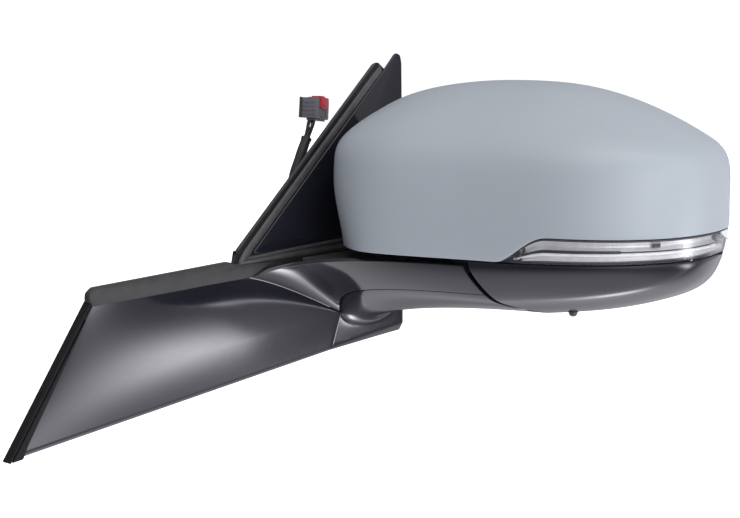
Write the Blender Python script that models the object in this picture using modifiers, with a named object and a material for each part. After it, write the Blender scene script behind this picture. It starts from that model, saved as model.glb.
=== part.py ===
"""Left-hand car side mirror: power-folding head with indicator, door fin, sail and harness.

The script builds one object per physical piece. Shape functions work in millimetres, and MM
turns them into metres when a mesh is made. +X points away from the door, +Y to the rear of the
car and +Z up; the origin is the centre of the bracket's bolting face. Pieces of the head are
modelled in the head's own frame, with the fold axis at its origin: u outboard, v rearward, z up.
"""
import math

import bmesh
import bpy
import numpy as np
from mathutils import Matrix, Vector

MM = 0.001

# Driving dimensions, in millimetres and degrees
PIVOT = (92.0, 5.0)            # fold axis, X and Y
HEAD_YAW = 12.0                # turn of the head about the fold axis
RIM_V = 45.0                   # plane of the glass opening
FOLD_RADIUS = 89.3             # cylinder that parts the foot from the lower cover
GAP = 0.5                      # shut line between neighbouring covers
CAD_GAP = 1.3                  # the same where two coarse curved edges run side by side
COVER_WALL = 2.6
FOOT_TOP = 17.5                # top edge of the foot covers
BEZEL_DEPTH = 18.0             # floor of the well that the glass swings in
COVER_BOTTOM = 21.8            # lower edge of the painted cover
LENS_TIP_U = 82.0
LENS_HEIGHT = 18.0
FIN_X = 20.0                   # outer face of the fin
SAIL_X = 21.0                  # outer face of the sail at z = 0
SAIL_LEAN = 0.08               # X lost per unit of height
SKIN_X = 13.0                  # plane of the door's outer skin
SHAFT_R = 7.0
GLASS_PIVOT = (86.0, 22.0, 62.0)
GLASS_V = 40.5                 # outer face of the glass
JACK_LEVER = 30.0
GEAR_R, GEAR_TEETH, GEAR_Z = 14.0, 24, 60.5
WORM_R = 5.5
WORM_V = -(GEAR_R + WORM_R + 1.2)

# Door outline of the fin, as (Y, Z)
FIN_TOP_FRONT = (-247.0, 1.5)
FIN_TIP = (-311.0, -85.5)
SEAM_FOOT = (-22.0, -62.5)
ROOT_TOP = (-108.0, 2.5)
ROOT_SEAM = (-12.0, -34.0)

for old in list(bpy.data.objects):
    bpy.data.objects.remove(old)


def collection(name):
    made = bpy.data.collections.new(name)
    bpy.context.scene.collection.children.link(made)
    return made


PARTS = collection("car_side_mirror")
CUTTERS = collection("cutters")
CUTTERS.hide_render = True


# ---------------------------------------------------------------- materials

def material(name, colour, roughness, metallic=0.0):
    made = bpy.data.materials.new(name)
    made.use_nodes = True
    shader = made.node_tree.nodes["Principled BSDF"]
    shader.inputs["Base Color"].default_value = (*colour, 1.0)
    shader.inputs["Roughness"].default_value = roughness
    shader.inputs["Metallic"].default_value = metallic
    made.diffuse_color = (*colour, 1.0)
    return made


PAINT = material("primer_grey", (0.42, 0.48, 0.53), 0.45)
GLOSS = material("gloss_black", (0.02, 0.02, 0.024), 0.08)
SATIN = material("satin_black", (0.03, 0.03, 0.032), 0.45)
RUBBER = material("seal_rubber", (0.015, 0.015, 0.015), 0.8)
CAST = material("cast_alloy", (0.55, 0.55, 0.56), 0.45, 1.0)
STEEL = material("zinc_steel", (0.6, 0.6, 0.58), 0.35, 1.0)
SPRING = material("spring_steel", (0.25, 0.25, 0.27), 0.35, 1.0)
NYLON = material("nylon", (0.75, 0.74, 0.7), 0.5)
LENS = material("clear_lens", (0.9, 0.92, 0.93), 0.05)
CHROME = material("chrome", (0.85, 0.85, 0.87), 0.08, 1.0)
MIRROR = material("mirror_glass", (0.8, 0.82, 0.84), 0.02, 1.0)
FOIL = material("heater_foil", (0.6, 0.35, 0.12), 0.5)
PLUG = material("plug_grey", (0.16, 0.16, 0.18), 0.5)
LOCK = material("lock_red", (0.55, 0.03, 0.05), 0.45)
COPPER = material("motor_can", (0.5, 0.5, 0.5), 0.3, 1.0)


# ---------------------------------------------------------------- helpers

def empty(name, place, turn=(0.0, 0.0, 0.0), parent=None):
    made = bpy.data.objects.new(name, None)
    PARTS.objects.link(made)
    made.location = Vector(place) * MM
    made.rotation_euler = [math.radians(a) for a in turn]
    made.parent = parent
    return made


def add(name, mesh, mat, parent=None, place=(0.0, 0.0, 0.0)):
    made = bpy.data.objects.new(name, mesh)
    (CUTTERS if mat is None else PARTS).objects.link(made)
    if mat is None:
        made.hide_render = True
        made.display_type = "WIRE"
    else:
        mesh.materials.append(mat)
    made.location = Vector(place) * MM
    made.parent = parent
    return made


def finish_mesh(name, bm, smooth_angle=40.0):
    bmesh.ops.scale(bm, vec=(MM, MM, MM), verts=bm.verts)
    mesh = bpy.data.meshes.new(name)
    bm.to_mesh(mesh)
    bm.free()
    mesh.shade_smooth()
    mesh.set_sharp_from_angle(angle=math.radians(smooth_angle))
    return mesh


def box(name, low, high, mat, parent=None, place=(0.0, 0.0, 0.0)):
    bm = bmesh.new()
    size = [h - l for l, h in zip(low, high)]
    centre = Vector([(h + l) / 2 for l, h in zip(low, high)])
    frame = Matrix.Translation(centre) @ Matrix.Diagonal((*size, 1.0))
    bmesh.ops.create_cube(bm, size=1.0, matrix=frame)
    return add(name, finish_mesh(name, bm), mat, parent, place)


AIM = {
    "X": Matrix.Rotation(math.pi / 2, 4, "Y"),
    "Y": Matrix.Rotation(-math.pi / 2, 4, "X"),
    "Z": Matrix.Identity(4),
}


def rod(name, radius, low, high, axis, centre, mat, parent=None, sides=24, end_radius=None,
        place=(0.0, 0.0, 0.0)):
    """A cylinder or cone frustum from low to high along axis; centre is in the other two."""
    bm = bmesh.new()
    bmesh.ops.create_cone(bm, cap_ends=True, segments=sides, radius1=radius,
                          radius2=radius if end_radius is None else end_radius,
                          depth=high - low, matrix=AIM[axis])
    middle = list(centre)
    middle.insert("XYZ".index(axis), (low + high) / 2)
    bmesh.ops.translate(bm, vec=middle, verts=bm.verts)
    return add(name, finish_mesh(name, bm), mat, parent, place)


def turned(name, profile, mat, parent=None, place=(0.0, 0.0, 0.0), steps=32):
    """A closed profile of (radius, height), outer side top to bottom, turned about Z."""
    bm = bmesh.new()
    verts = [bm.verts.new((r, 0.0, z)) for r, z in profile]
    for first, second in zip(verts, verts[1:] + verts[:1]):
        bm.edges.new((first, second))
    made = add(name, finish_mesh(name, bm), mat, parent, place)
    screw = made.modifiers.new("turn", "SCREW")
    screw.steps = screw.render_steps = steps
    screw.use_merge_vertices = True
    screw.merge_threshold = 0.00005
    return made


def plate(name, outline, low, high, axis, mat, parent=None, holes=(), place=(0.0, 0.0, 0.0)):
    """A flat outline, thick from low to high along axis. Outline points are in the other two."""
    curve = bpy.data.curves.new(name, "CURVE")
    curve.dimensions = "2D"
    curve.fill_mode = "BOTH"
    curve.extrude = (high - low) / 2 * MM
    for loop in (outline, *holes):
        spline = curve.splines.new("POLY")
        spline.points.add(len(loop) - 1)
        for point, (a, b) in zip(spline.points, loop):
            point.co = (a * MM, b * MM, 0.0, 1.0)
        spline.use_cyclic_u = True
    flat = bpy.data.objects.new(name + "_outline", curve)
    bpy.context.scene.collection.objects.link(flat)
    bpy.context.view_layer.update()
    mesh = bpy.data.meshes.new_from_object(flat.evaluated_get(bpy.context.evaluated_depsgraph_get()))
    bpy.data.objects.remove(flat)
    turn = {
        "X": Matrix(((0, 0, 1, 0), (1, 0, 0, 0), (0, 1, 0, 0), (0, 0, 0, 1))),
        "Y": Matrix(((1, 0, 0, 0), (0, 0, -1, 0), (0, 1, 0, 0), (0, 0, 0, 1))),
        "Z": Matrix.Identity(4),
    }[axis]
    shift = [0.0, 0.0, 0.0]
    shift["XYZ".index(axis)] = (low + high) / 2 * MM
    bm = bmesh.new()
    bm.from_mesh(mesh)
    bm.transform(Matrix.Translation(shift) @ turn)
    bmesh.ops.remove_doubles(bm, verts=bm.verts, dist=0.00001)
    bmesh.ops.recalc_face_normals(bm, faces=bm.faces)
    bm.to_mesh(mesh)
    bm.free()
    mesh.name = name
    mesh.materials.clear()
    return add(name, mesh, mat, parent, place)


def tube(name, points, radius, mat, parent=None, resolution=2):
    curve = bpy.data.curves.new(name, "CURVE")
    curve.dimensions = "3D"
    curve.bevel_depth = radius * MM
    curve.bevel_resolution = resolution
    curve.use_fill_caps = True
    spline = curve.splines.new("POLY")
    spline.points.add(len(points) - 1)
    for point, place in zip(spline.points, points):
        point.co = (*(Vector(place) * MM), 1.0)
    made = bpy.data.objects.new(name, curve)
    curve.materials.append(mat)
    PARTS.objects.link(made)
    made.parent = parent
    return made


def boolean(target, cutter, operation):
    modifier = target.modifiers.new(operation.lower(), "BOOLEAN")
    modifier.operation = operation
    modifier.object = cutter
    return target


def bevel(target, width, segments=2, angle=40.0):
    modifier = target.modifiers.new("edges", "BEVEL")
    modifier.width = width * MM
    modifier.segments = segments
    modifier.limit_method = "ANGLE"
    modifier.angle_limit = math.radians(angle)
    return target


def spline_basis(count, t):
    """Weights of a clamped cubic B-spline's control points at each t from 0 to 1."""
    knots = np.concatenate([np.zeros(3), np.linspace(0.0, 1.0, count - 2), np.ones(3)])
    t = np.clip(np.asarray(t, float), 0.0, 1.0 - 1e-9)[:, None]
    weights = ((knots[:-1] <= t) & (t < knots[1:])).astype(float)
    for degree in range(1, 4):
        start, near = knots[:-degree - 1], knots[degree:-1]
        after, far = knots[1:-degree], knots[degree + 1:]
        rise = np.where(near > start, (t - start) / np.where(near > start, near - start, 1), 0)
        fall = np.where(far > after, (far - t) / np.where(far > after, far - after, 1), 0)
        weights = rise * weights[:, :-1] + fall * weights[:, 1:]
    return weights


def smooth_line(points, count):
    """A smooth curve led by its control points, as count points evenly spaced along it."""
    points = np.array(points, float)
    dense = spline_basis(len(points), np.linspace(0, 1, 400)) @ points
    return even(dense, count)


def smooth_loop(points, count):
    """The same for a closed outline."""
    points = np.array(points, float)
    wrapped = np.concatenate([points[-3:], points, points[:3]])
    ring = len(points)
    dense = []
    for i in range(ring):
        a, b, c, d = wrapped[i], wrapped[i + 1], wrapped[i + 2], wrapped[i + 3]
        for s in np.linspace(0, 1, 24, endpoint=False):
            dense.append(((1 - s) ** 3 * a + (3 * s ** 3 - 6 * s ** 2 + 4) * b
                          + (-3 * s ** 3 + 3 * s ** 2 + 3 * s + 1) * c + s ** 3 * d) / 6)
    dense.append(dense[0])
    return even(np.array(dense), count + 1)[:-1]


def even(line, count):
    """Points evenly spaced along a dense polyline."""
    steps = np.linalg.norm(np.diff(line, axis=0), axis=1)
    along = np.concatenate([[0.0], np.cumsum(steps)])
    places = np.linspace(0.0, along[-1], count)
    return np.stack([np.interp(places, along, line[:, k]) for k in range(line.shape[1])], 1)


def sheet(name, grid, outward, mat, parent=None, wall=COVER_WALL):
    """An open surface through a grid of points, given its wall thickness inward."""
    grid = np.array(grid, float)
    rows, columns = grid.shape[:2]
    bm = bmesh.new()
    verts = [[bm.verts.new(point) for point in row] for row in grid]
    for i in range(rows - 1):
        for j in range(columns - 1):
            bm.faces.new((verts[i][j], verts[i + 1][j], verts[i + 1][j + 1], verts[i][j + 1]))
    bmesh.ops.remove_doubles(bm, verts=bm.verts, dist=0.02)
    bmesh.ops.dissolve_degenerate(bm, edges=bm.edges, dist=0.02)
    bm.normal_update()
    facing = sum((face.normal * face.calc_area() for face in bm.faces), Vector())
    if facing.dot(Vector(outward)) < 0:
        bmesh.ops.reverse_faces(bm, faces=bm.faces)
    made = add(name, finish_mesh(name, bm), mat, parent)
    solid = made.modifiers.new("wall", "SOLIDIFY")
    solid.thickness = wall * MM
    solid.offset = -1.0
    return made


def inset_border(grid, amount, sides):
    """Pull the named borders of a grid in by amount, for the gap at a shut line."""
    grid = np.array(grid, float)
    for side in sides:
        view = {"top": grid, "bottom": grid[::-1], "left": np.swapaxes(grid, 0, 1),
                "right": np.swapaxes(grid, 0, 1)[::-1]}[side]
        step = view[1] - view[0]
        length = np.maximum(np.linalg.norm(step, axis=1, keepdims=True), 1e-6)
        view[0] += step / length * np.minimum(amount, 0.45 * length)
    return grid


# ---------------------------------------------------------------- head surface

# Columns of the head from its inboard end to its outboard end. Each has the rim's top and
# bottom (u, z), the foremost point (u, v), and the heights of the shoulder and of the chin edge.
HEAD_COLUMNS = (
    # rim top          rim bottom       front             shoulder  chin
    ((-53.5, 60.0), (-53.5, 22.0), (-53.5, 45.0), 52.0, 26.0),
    ((-54.0, 88.0), (-53.5, 0.0), (-63.0, 32.0), 74.0, 6.0),
    ((-50.0, 110.0), (-50.0, -22.0), (-70.5, 2.0), 86.0, -10.0),
    ((-34.0, 126.5), (-36.0, -34.0), (-66.0, -34.0), 88.5, -15.0),
    ((-6.0, 134.5), (-10.0, -34.5), (-45.0, -62.0), 90.5, -16.0),
    ((26.0, 138.2), (25.0, -33.5), (-8.0, -72.0), 91.0, -14.5),
    ((62.0, 138.6), (62.0, -31.0), (38.0, -71.0), 91.0, -10.5),
    ((100.0, 136.5), (100.0, -26.5), (84.0, -71.5), 91.5, -6.0),
    ((136.0, 127.5), (136.0, -21.0), (128.0, -72.5), 92.0, -1.5),
    ((167.0, 114.5), (167.0, -12.0), (164.0, -61.0), 92.0, 4.0),
    ((190.5, 101.5), (190.0, -2.0), (189.5, -36.0), 90.0, 11.0),
    ((203.0, 93.0), (200.5, 14.0), (202.5, -4.0), 86.0, 23.0),
    ((205.3, 80.0), (205.0, 35.0), (206.0, 25.0), 75.0, 41.0),
    ((205.0, 66.0), (205.0, 50.0), (205.0, 45.0), 63.0, 54.0),
)


def head_net():
    """The head's control net: for each column, points from the rim's top over the shoulder
    and down the front to the chin and the rim's bottom."""
    net = []
    for top, bottom, front, shoulder, chin in HEAD_COLUMNS:
        roof = top[1] - shoulder
        face = shoulder - chin
        under = chin - bottom[1]
        rows = (
            (0.0, top[1]), (0.2, top[1] - 0.01 * roof), (0.48, shoulder + 0.74 * roof),
            (0.74, shoulder + 0.40 * roof), (0.905, shoulder + 0.06 * roof),
            (0.965, shoulder - 0.16 * face), (1.0, shoulder - 0.45 * face),
            (0.995, shoulder - 0.72 * face), (0.93, chin + 0.125 * face),
            (0.865, chin + 0.025 * face), (0.815, chin - 0.12 * under),
            (0.63, chin - 0.50 * under), (0.32, bottom[1] + 0.12 * under), (0.0, bottom[1]),
        )
        column = []
        for k, (depth, z) in enumerate(rows):
            down = k / (len(rows) - 1)
            rim_u = top[0] + (bottom[0] - top[0]) * down
            column.append((rim_u + (front[0] - rim_u) * depth,
                           RIM_V + (front[1] - RIM_V) * depth, z))
        net.append(column)
    return np.array(net)


NET = head_net()
DOWN = np.linspace(0.0, 1.0, 220)
DOWN_BASIS = spline_basis(NET.shape[1], DOWN)


def head_columns(places):
    """The head's outline columns at places from 0, inboard, to 1, outboard, each dense."""
    across = spline_basis(NET.shape[0], places)
    return np.einsum("ck,kjx,dj->cdx", across, NET, DOWN_BASIS)


def column_span(column, upper, lower, rows):
    """The stretch of a column between two heights, each a function of u or None at the rim."""
    def crossing(height):
        over = column[:, 2] - height(column[:, 0])
        return float(np.interp(0.0, -over, np.arange(len(column))))
    first = 0.0 if upper is None else crossing(upper)
    last = len(column) - 1.0 if lower is None else crossing(lower)
    last = max(last, first + 1e-3)
    places = np.linspace(first, last, 160)
    index = np.arange(len(column))
    dense = np.stack([np.interp(places, index, column[:, k]) for k in range(3)], 1)
    return even(dense, rows)


def ease(x):
    x = np.clip(x, 0.0, 1.0)
    return x * x * (3.0 - 2.0 * x)


def lens_top(u):
    return COVER_BOTTOM + LENS_HEIGHT * ease((np.asarray(u) - LENS_TIP_U) / 34.0) ** 0.8


def lens_bottom(u):
    return COVER_BOTTOM + 0.3 + 1.9 * ease((np.asarray(u) - LENS_TIP_U) / 120.0)


def head_patch(places, upper, lower, rows):
    """A grid of the head's surface, [row][column], at the given columns between two heights."""
    spans = [column_span(c, upper, lower, rows) for c in head_columns(places)]
    return np.swapaxes(np.array(spans), 0, 1)


def place_where(height, axis, value, first, last):
    """The place whose surface point at a height has the given u (axis 0) or v (axis 1)."""
    tries = np.linspace(first, last, 160)
    found = [column_span(c, height, None, 2)[0][axis] for c in head_columns(tries)]
    return float(np.interp(value, found, tries))


LENS_START = place_where(lens_bottom, 0, LENS_TIP_U + 3.0, 0.3, 0.7)
LENS_END = place_where(lens_top, 1, RIM_V - 7.0, 0.6, 0.96)
LOWER_END = place_where(lens_bottom, 1, RIM_V - 5.0, 0.6, 0.96)
LEVEL = np.linspace(0.0, 1.0, 31)
SPREAD = 0.35 * LEVEL + 0.65 * (0.5 - 0.5 * np.cos(np.pi * LEVEL))
PLACES = np.union1d(SPREAD, (LENS_START, LENS_END, LOWER_END))
LENS_PLACES = PLACES[(PLACES >= LENS_START) & (PLACES <= LENS_END)]
LOWER_PLACES = LENS_PLACES[LENS_PLACES <= LOWER_END]
LOWER_TRIES = np.linspace(0.28, LOWER_END, 130)


def lower_rows(top_height, rows):
    """Dense columns of the head's lower part, from a height down to the rim's bottom."""
    return np.array([column_span(c, top_height, None, rows) for c in head_columns(LOWER_TRIES)])


def at_radius(line, radius):
    """Where a row of the lower part crosses a cylinder about the fold axis, as an index."""
    distance = np.hypot(line[:, 0], line[:, 1])
    start = int(np.argmin(np.abs(line[:, 0] - 20.0)))
    return float(np.interp(radius, distance[start:], np.arange(start, len(line))))


def take(line, index):
    base = np.arange(len(line))
    return np.stack([np.interp(index, base, line[:, k]) for k in range(3)], -1)


# ---------------------------------------------------------------- foot and fin surfaces

YAW = math.radians(HEAD_YAW)


def to_door(points):
    """From the head's frame to the door's frame."""
    p = np.asarray(points, float)
    x = PIVOT[0] + p[..., 0] * math.cos(YAW) - p[..., 1] * math.sin(YAW)
    y = PIVOT[1] + p[..., 0] * math.sin(YAW) + p[..., 1] * math.cos(YAW)
    return np.stack([x, y, p[..., 2]], -1)


INBOARD = np.array([-math.cos(YAW), -math.sin(YAW), 0.0])


def bezier(a, b, c, d, count):
    t = np.linspace(0.0, 1.0, count)[:, None]
    return (1 - t) ** 3 * a + 3 * t * (1 - t) ** 2 * b + 3 * t * t * (1 - t) * c + t ** 3 * d


def foot_ring(count):
    """The foot's outline where it meets the fold cylinder, from the front top edge down the
    front, under the chin and up the rear, in the door's frame, as dense points."""
    rows = 120
    dense = lower_rows(lambda u: FOOT_TOP + 0.0 * u, rows)
    front = np.array([take(dense[:, j], at_radius(dense[:, j], FOLD_RADIUS)) for j in range(rows)])
    end = front[-1]
    rear_v = RIM_V - 2.0
    rear_u = math.sqrt(FOLD_RADIUS ** 2 - rear_v ** 2)
    keep = front[front[:, 1] < rear_v - 9.0]
    corner = [(rear_u + 1.0, rear_v, end[2] + 1.5)]
    rise = [(rear_u, rear_v, z) for z in np.linspace(end[2] + 9.0, FOOT_TOP, 12)]
    bend = bezier(keep[-1], np.array(corner[0]), np.array(corner[0]), np.array(rise[0]), 8)
    return to_door(even(np.concatenate([keep, bend[1:-1], rise]), count))


RING = foot_ring(400)
SEAM_Z = -2.5
SEAM_INDEX = int(np.argmax(RING[:, 2] < SEAM_Z))

# Where each row of the foot meets the door plane, as (X, Y, Z), and its two handles: how far it
# runs straight in from the fold cylinder, and the handle at the door.
FRONT_ROOTS = ((21.0, *ROOT_TOP), (21.0, -82.0, -4.0), (21.0, -46.0, -19.0), (21.0, *ROOT_SEAM))
FRONT_HANDLES = ((25.0, -56.0, 12.0), (25.0, -50.0, 8.0), (26.0, -42.0, -2.0), (30.0, -30.0, -13.0))
FRONT_REACH = (72.0, 80.0, 90.0, 96.0)
LOWER_ROOTS = ((21.0, *ROOT_SEAM), (21.0, -9.0, -42.0), (21.0, 10.0, -48.0), (21.0, 38.0, -48.0),
               (21.0, 55.0, -41.0), (21.0, 57.5, -22.0), (21.0, 57.0, 9.5))
LOWER_HANDLES = ((30.0, -30.0, -13.0), (27.0, -20.0, -22.0), (26.0, 8.0, -36.0), (27.0, 26.0, -36.0),
                 (27.0, 38.0, -20.0), (27.0, 41.0, -8.0), (27.0, 41.0, FOOT_TOP - 1.0))
LOWER_REACH = (96.0, 92.0, 84.0, 80.0, 78.0, 74.0, 70.0)
FLANGE = ((FIN_X, *SEAM_FOOT), (FIN_X, -8.0, -62.0), (FIN_X, 18.0, -61.0), (FIN_X, 46.0, -60.0),
          (FIN_X, 64.0, -59.5), (FIN_X, 63.5, -36.0), (FIN_X, 64.0, 9.5))


def lead(points, t):
    points = np.array(points, float)
    if points.ndim == 1:
        points = points[:, None]
    return spline_basis(len(points), t) @ points


def front_rows(rows, count):
    """Rows of the arm's front from the door to the fold cylinder, top row first."""
    t = np.linspace(0.0, 1.0, rows)
    starts = even(RING[:SEAM_INDEX + 1], rows)
    roots, handles = lead(FRONT_ROOTS, t), lead(FRONT_HANDLES, t)
    reach = lead(FRONT_REACH, t)
    return np.array([
        bezier(roots[i], handles[i], starts[i] + INBOARD * reach[i], starts[i], count)
        for i in range(rows)
    ])


def fin_rows(rows_arm, rows_all, count):
    """Rows of the flat fin from its front edge to the arm's root and to the seam."""
    down = np.linspace(0.0, 1.0, rows_all)
    front = np.stack([np.full(rows_all, FIN_X),
                      FIN_TOP_FRONT[0] + (FIN_TIP[0] - FIN_TOP_FRONT[0]) * down,
                      FIN_TOP_FRONT[1] + (FIN_TIP[1] - FIN_TOP_FRONT[1]) * down], 1)
    roots = lead(FRONT_ROOTS, np.linspace(0.0, 1.0, rows_arm))
    rest = np.linspace(0.0, 1.0, rows_all - rows_arm + 1)[1:, None]
    seam = np.array((21.0, *ROOT_SEAM)) * (1 - rest) + np.array((FIN_X, *SEAM_FOOT)) * rest
    ends = np.concatenate([roots, seam])
    along = np.linspace(0.0, 1.0, count)[None, :, None]
    grid = front[:, None, :] * (1 - along) + ends[:, None, :] * along
    crown = 3.2 * np.sin(np.pi * down)[:, None] * np.sin(np.pi * along[0, :, 0])[None, :] ** 0.8
    grid[:, :, 0] += crown
    return grid


def lower_foot_rows(rows, count, flange_count):
    """Rows of the foot's lower cover, each from the fold cylinder to the door and out along the
    flange; the first row is the seam with the fin."""
    t = np.linspace(0.0, 1.0, rows)
    starts = even(RING[SEAM_INDEX:], rows)
    roots, handles, edges = lead(LOWER_ROOTS, t), lead(LOWER_HANDLES, t), lead(FLANGE, t)
    reach = lead(LOWER_REACH, t)
    grid = []
    for i in range(rows):
        arm = bezier(starts[i], starts[i] + INBOARD * reach[i], handles[i], roots[i], count)
        out = roots[i] + (edges[i] - roots[i]) * np.linspace(0, 1, flange_count + 1)[1:, None]
        grid.append(np.concatenate([arm, out]))
    return np.array(grid)


# ---------------------------------------------------------------- door side pieces

FOLD_AXIS = empty("fold_axis", (*PIVOT, 0.0), (0.0, 0.0, HEAD_YAW))
SAIL_AXIS = empty("sail_axis", (SAIL_X, 0.0, 0.0), (0.0, -math.degrees(math.atan(SAIL_LEAN)), 0.0))


def circle(radius, count=24, centre=(0.0, 0.0)):
    return [(centre[0] + radius * math.cos(2 * math.pi * k / count),
             centre[1] + radius * math.sin(2 * math.pi * k / count)) for k in range(count)]


BOLTS = ((-38.0, 26.0), (38.0, 26.0), (0.0, -29.0))
HARNESS_HOLE = (-16.0, 24.0)


def mounting_bracket():
    corners = ((-50, -20), (-50, 32), (-44, 38), (44, 38), (50, 32), (50, -20), (20, -38), (-20, -38))
    holes = [circle(3.4, 16, bolt) for bolt in BOLTS] + [circle(8.3, 24, HARNESS_HOLE)]
    flange = plate("mounting_bracket", corners, 0.0, 6.0, "X", CAST, holes=holes)
    arm = plate("bracket_arm_form", ((5.0, -18.0), (60.0, -15.0), (92.0, -12.0), (92.0, 22.0),
                                     (60.0, 22.0), (5.0, 22.0)), -12.0, 4.0, "Z", None)
    boss = rod("bracket_boss_form", 27.0, -14.0, 11.0, "Z", PIVOT, None, sides=32)
    bore = rod("bracket_bore_form", SHAFT_R + 0.3, -20.0, 20.0, "Z", PIVOT, None, sides=32)
    boolean(flange, arm, "UNION")
    boolean(flange, boss, "UNION")
    boolean(flange, bore, "DIFFERENCE")


def bolt(index, y, z):
    head = rod(f"mounting_bolt_{index}", 6.0, 6.3, 10.3, "X", (y, z), STEEL, sides=6)
    shank = rod(f"bolt_shank_form_{index}", 3.0, -22.0, 7.0, "X", (y, z), None, sides=16)
    boolean(head, shank, "UNION")


def fin_cover():
    arm_rows, all_rows, arm_count, fin_count = 9, 15, 14, 9
    fin = fin_rows(arm_rows, all_rows, fin_count)
    arm = front_rows(arm_rows, arm_count)
    arm = inset_border(arm, GAP, ("bottom",))
    bm = bmesh.new()
    for grid in (fin, arm):
        verts = [[bm.verts.new(point) for point in row] for row in grid]
        for i in range(len(verts) - 1):
            for j in range(len(verts[0]) - 1):
                bm.faces.new((verts[i][j], verts[i][j + 1], verts[i + 1][j + 1], verts[i + 1][j]))
    bmesh.ops.remove_doubles(bm, verts=bm.verts, dist=0.7)
    bm.normal_update()
    if sum((f.normal * f.calc_area() for f in bm.faces), Vector()).x < 0:
        bmesh.ops.reverse_faces(bm, faces=bm.faces)
    made = add("fin_cover", finish_mesh("fin_cover", bm), GLOSS)
    solid = made.modifiers.new("wall", "SOLIDIFY")
    solid.thickness = COVER_WALL * MM
    solid.offset = -1.0


def foot_lower_cover():
    grid = lower_foot_rows(22, 12, 2)
    grid = inset_border(grid, 1.2, ("top",))
    sheet("foot_lower_cover", grid, (0.0, 0.0, -1.0), GLOSS)


fin_cover()
foot_lower_cover()
mounting_bracket()
for number, (bolt_y, bolt_z) in enumerate(BOLTS, 1):
    bolt(number, bolt_y, bolt_z)


# ---------------------------------------------------------------- head pieces

def upper_cover():
    grid = head_patch(PLACES, None, lens_top, 15)
    grid = inset_border(grid, 1.0, ("top", "left", "right"))
    sheet("upper_cover", grid, (0.0, -1.0, 0.3), PAINT, FOLD_AXIS)


def lower_cover():
    rows = 11
    dense = lower_rows(lambda u: lens_bottom(u) - CAD_GAP, rows)
    index = np.arange(len(LOWER_TRIES))
    first = [at_radius(dense[:, j], FOLD_RADIUS + CAD_GAP) for j in range(rows)]
    shared = LOWER_PLACES[np.interp(LOWER_PLACES, LOWER_TRIES, index) > max(first) + 2.0]
    shared = np.interp(shared, LOWER_TRIES, index)
    grid = []
    for j in range(rows):
        lead_in = np.linspace(first[j], shared[0], 6)[:-1]
        grid.append(take(dense[:, j], np.concatenate([lead_in, shared])))
    cover = sheet("lower_cover", inset_border(grid, 1.0, ("bottom",)), (0.0, -1.0, -0.3), GLOSS,
                  FOLD_AXIS)
    hole = rod("sensor_hole_form", SENSOR_R + 0.4, -40.0, 0.0, "Z", SENSOR, None, FOLD_AXIS, 16)
    boolean(cover, hole, "DIFFERENCE")


def offset(grid, depth):
    """A grid moved in along its own normals, towards the inside of the head."""
    grid = np.array(grid, float)
    along, down = np.gradient(grid, axis=1), np.gradient(grid, axis=0)
    normal = np.cross(along, down)
    normal /= np.maximum(np.linalg.norm(normal, axis=2, keepdims=True), 1e-9)
    if normal[..., 1].mean() > 0:
        normal = -normal
    return grid - normal * depth


def indicator():
    lens = head_patch(LENS_PLACES, lambda u: lens_top(u) - GAP, lens_bottom, 5)
    sheet("indicator_lens", lens, (0.0, -1.0, 0.0), LENS, FOLD_AXIS, wall=2.0)
    inner = LENS_PLACES[2:-4]
    bright = head_patch(inner, lambda u: lens_top(u) - 3.0, lambda u: lens_bottom(u) + 3.0, 4)
    sheet("indicator_reflector", offset(bright, 5.0), (0.0, -1.0, 0.0), CHROME, FOLD_AXIS, wall=1.0)
    tray = head_patch(inner, lambda u: lens_top(u) - 2.0, lambda u: lens_bottom(u) + 2.0, 4)
    sheet("indicator_housing", offset(tray, 8.0), (0.0, -1.0, 0.0), SATIN, FOLD_AXIS, wall=2.0)


RIM_STEP_U = 78.5              # the lower cover's rim starts here, outboard of the foot
GLASS_CENTRE = (86.0, 62.0)
OPENING = ((46, 129.5), (90, 128.5), (128, 118), (160, 104), (184, 92.5), (197, 84), (197.5, 62),
           (195, 38), (188, 16), (172, 2), (148, -8), (124, -9.5), (107, -2), (93, 14), (77, 30),
           (50, 33.5), (10, 33.5), (-32, 33.5), (-45.5, 37), (-45.5, 62), (-45.5, 96), (-38, 114),
           (-18, 126), (12, 129))


def rim_outline(count):
    """The outline of the head's glass side, as (u, z), clockwise from its inboard end."""
    columns = head_columns(np.linspace(0.0, 1.0, 240))
    top, bottom = columns[:, 0][:, [0, 2]], columns[::-1, -1][:, [0, 2]]
    bottom = bottom[bottom[:, 0] > RIM_STEP_U]
    floor = COVER_BOTTOM + 0.4
    step = [(RIM_STEP_U, bottom[-1][1]), (RIM_STEP_U, floor), (top[0][0], floor)]
    line = np.concatenate([top, bottom, step, top[:1]])
    return even(line, count + 1)[:-1]


def polar(outline, angles):
    """The radius of a closed outline about the glass centre at each angle."""
    rel = np.asarray(outline, float) - GLASS_CENTRE
    at = np.arctan2(rel[:, 1], rel[:, 0])
    order = np.argsort(at)
    at, far = at[order], np.hypot(rel[:, 0], rel[:, 1])[order]
    at = np.concatenate([at - 2 * math.pi, at, at + 2 * math.pi])
    return np.interp(angles, at, np.tile(far, 3))


def ring_at(angles, radii):
    return np.stack([GLASS_CENTRE[0] + radii * np.cos(angles),
                     GLASS_CENTRE[1] + radii * np.sin(angles)], 1)


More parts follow.
